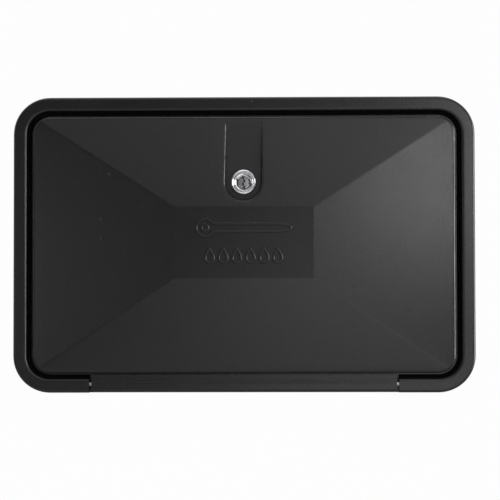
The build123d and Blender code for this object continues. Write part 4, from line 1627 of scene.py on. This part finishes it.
@dataclass(frozen=True)
class Lamp:
    """A soft square lamp that points at the object.

    Attributes:
        azimuth: Its direction in degrees, 0 in front of the door and positive to the right.
        elevation: Its height in degrees.
        watts: Its power.
        distance: Its distance.
        spread: Its side as a share of its distance.
    """

    azimuth: float
    elevation: float
    watts: float
    distance: float = 1.5
    spread: float = 0.25

    def light(self) -> None:
        """Makes the lamp, which the camera doesn't see."""
        data = bpy.data.lights.new("lamp", "AREA")
        data.size = self.spread * self.distance
        data.energy = self.watts
        lamp = bpy.data.objects.new("lamp", data)
        lamp.visible_camera = False
        turn, rise = math.radians(self.azimuth), math.radians(self.elevation)
        level = math.cos(rise)
        away = Vector((math.sin(turn) * level, -math.cos(turn) * level, math.sin(rise)))
        lamp.location = self.distance * away
        lamp.rotation_euler = (-away).to_track_quat("-Z", "Y").to_euler()
        bpy.context.scene.collection.objects.link(lamp)


@dataclass
class Studio:
    """Camera, lamps, world and floor.

    Attributes:
        eye: The camera's place.
        yaw: Its turn to the right, in degrees.
        pitch: Its tilt upwards, in degrees.
        roll: Its turn about its own axis, in degrees.
        lens: Focal length in millimetres.
        sensor: Width of the sensor in millimetres.
        lamps: The lamps.
        ahead: What polished surfaces see of the room in front of the door.
        behind: What they see of the room behind it.
        room_ends: Y of the directions between which the one turns into the other.
        fill: How much light the room gives to the object.
        white: Brightness of the background.
        floor_level: Height of the floor.
        floor_side: How far it reaches to either side.
        floor_near: Where it ends in front.
        floor_far: Where it ends behind.
        floor_colour: Its colour to the object.
        floor_lit: The part of its colour that the light shows to the camera.
        floor_glow: The part that shows by itself.
    """

    eye: tuple[float, float, float] = (0.0369, -1.5, -0.0593)
    yaw: float = -1.251
    pitch: float = 2.128
    roll: float = -0.087
    lens: float = 153.15
    sensor: float = 36.0
    lamps: tuple[Lamp, ...] = (
        Lamp(-30.0, 0.0, 0.53),
        Lamp(-18.0, 0.0, 0.16),
        Lamp(-18.0, 24.0, 0.21),
        Lamp(-6.0, -12.0, 0.12),
        Lamp(-6.0, 24.0, 0.27),
        Lamp(6.0, -12.0, 0.72),
        Lamp(6.0, 0.0, 0.34),
        Lamp(6.0, 24.0, 0.46),
        Lamp(18.0, -12.0, 0.43),
        Lamp(18.0, 12.0, 0.56),
        Lamp(18.0, 24.0, 0.77),
        Lamp(25.0, 8.0, 0.38, distance=0.7),
        Lamp(75.0, 5.0, 20.0, spread=0.6),
        Lamp(0.0, 75.0, 3.0, distance=1.3, spread=0.8),
    )
    ahead: float = 0.03
    behind: float = 1.0
    room_ends: tuple[float, float] = (-0.8, -0.1)
    fill: float = 0.65
    white: float = 0.985
    floor_level: float = -0.30
    floor_side: float = 3.0
    floor_near: float = -0.9
    floor_far: float = 1.3
    floor_colour: float = 0.5
    floor_lit: float = 0.4
    floor_glow: float = 0.62

    def build(self) -> None:
        """Makes everything round the object."""
        self.aim()
        self.surroundings()
        self.ground()
        for lamp in self.lamps:
            lamp.light()

    def aim(self) -> None:
        """Makes the camera from its place and its three angles.

        Yaw and pitch give the direction ahead, and roll mixes the level and the upward direction.
        """
        yaw, pitch, roll = (math.radians(angle) for angle in (self.yaw, self.pitch, self.roll))
        forward = math.cos(pitch)
        ahead = np.array([math.sin(yaw) * forward, math.cos(yaw) * forward, math.sin(pitch)])
        level = np.array([math.cos(yaw), -math.sin(yaw), 0.0])
        upward = np.cross(level, ahead)
        right = math.cos(roll) * level + math.sin(roll) * upward
        up = math.cos(roll) * upward - math.sin(roll) * level
        data = bpy.data.cameras.new("camera")
        data.sensor_width = self.sensor
        data.lens = self.lens
        data.clip_start, data.clip_end = 0.05, 60.0
        camera = bpy.data.objects.new("camera", data)
        turn = Matrix((right, up, -ahead)).transposed()
        camera.matrix_world = Matrix.Translation(self.eye) @ turn.to_4x4()
        bpy.context.scene.collection.objects.link(camera)
        bpy.context.scene.camera = camera

    def surroundings(self) -> None:
        """Makes the world: white to the camera, and a room that is dimmer in front to the rest."""
        world = bpy.data.worlds.new("room")
        bpy.context.scene.world = world
        world.use_nodes = True
        graph = Graph(world.node_tree)
        towards = graph.add("ShaderNodeTexCoord").outputs["Generated"]
        depth = graph.add("ShaderNodeSeparateXYZ", {0: towards}).outputs[1]
        room = graph.ramp(depth, *self.room_ends, self.ahead, self.behind)
        seen, soft, polished = graph.rays()
        filled = graph.maths("MULTIPLY", soft, self.fill)
        reflected = graph.maths("MULTIPLY_ADD", polished, room, filled)
        strength = graph.maths("MULTIPLY_ADD", seen, self.white, reflected)
        background = world.node_tree.nodes["Background"]
        graph.feed(background, {"Color": (1.0, 1.0, 1.0, 1.0), "Strength": strength})

    def ground(self) -> None:
        """Makes the floor, which is staged."""
        side, near, far, level = self.floor_side, self.floor_near, self.floor_far, self.floor_level
        floor = [(-side, near, level), (side, near, level), (side, far, level), (-side, far, level)]
        sheet = new_piece("floor", np.array(floor), np.array([(0, 1, 2, 3)]))
        sheet.data.materials.append(self.floor_paint())

    def floor_paint(self) -> bpy.types.Material:
        """Makes pale matt paint that the camera sees as white by itself, apart from its shadows.

        Returns:
            The paint.
        """
        paint = bpy.data.materials.new("floor_paint")
        paint.use_nodes = True
        graph = Graph(paint.node_tree)
        seen, _, _ = graph.rays()
        grey = graph.maths("MULTIPLY_ADD", seen, self.floor_lit - self.floor_colour, self.floor_colour)
        colour = graph.add("ShaderNodeCombineColor", {0: grey, 1: grey, 2: grey}).outputs[0]
        glow = graph.maths("MULTIPLY", seen, self.floor_glow)
        inputs = {"Base Color": colour, "Roughness": 0.9, "Specular IOR Level": 0.0}
        inputs |= {"Emission Color": (1.0, 1.0, 1.0, 1.0), "Emission Strength": glow}
        graph.feed(paint.node_tree.nodes["Principled BSDF"], inputs)
        return paint


def main() -> None:
    """Builds every sub-assembly and the studio."""
    logging.basicConfig(level=logging.INFO, format="%(name)s %(message)s")
    bpy.context.scene.view_settings.view_transform = "Standard"
    book = FinishBook()
    assemblies: list[Assembly] = [
        WallBox(book),
        Door(book),
        KeyLock(book),
        MixingValve(book),
        Handle(book, Side.HOT),
        Handle(book, Side.COLD),
        Handset(book),
        HandsetClip(book),
    ]
    for assembly in assemblies:
        assembly.build()
    Studio().build()
    bpy.context.view_layer.update()


if __name__ == "__main__":
    main()
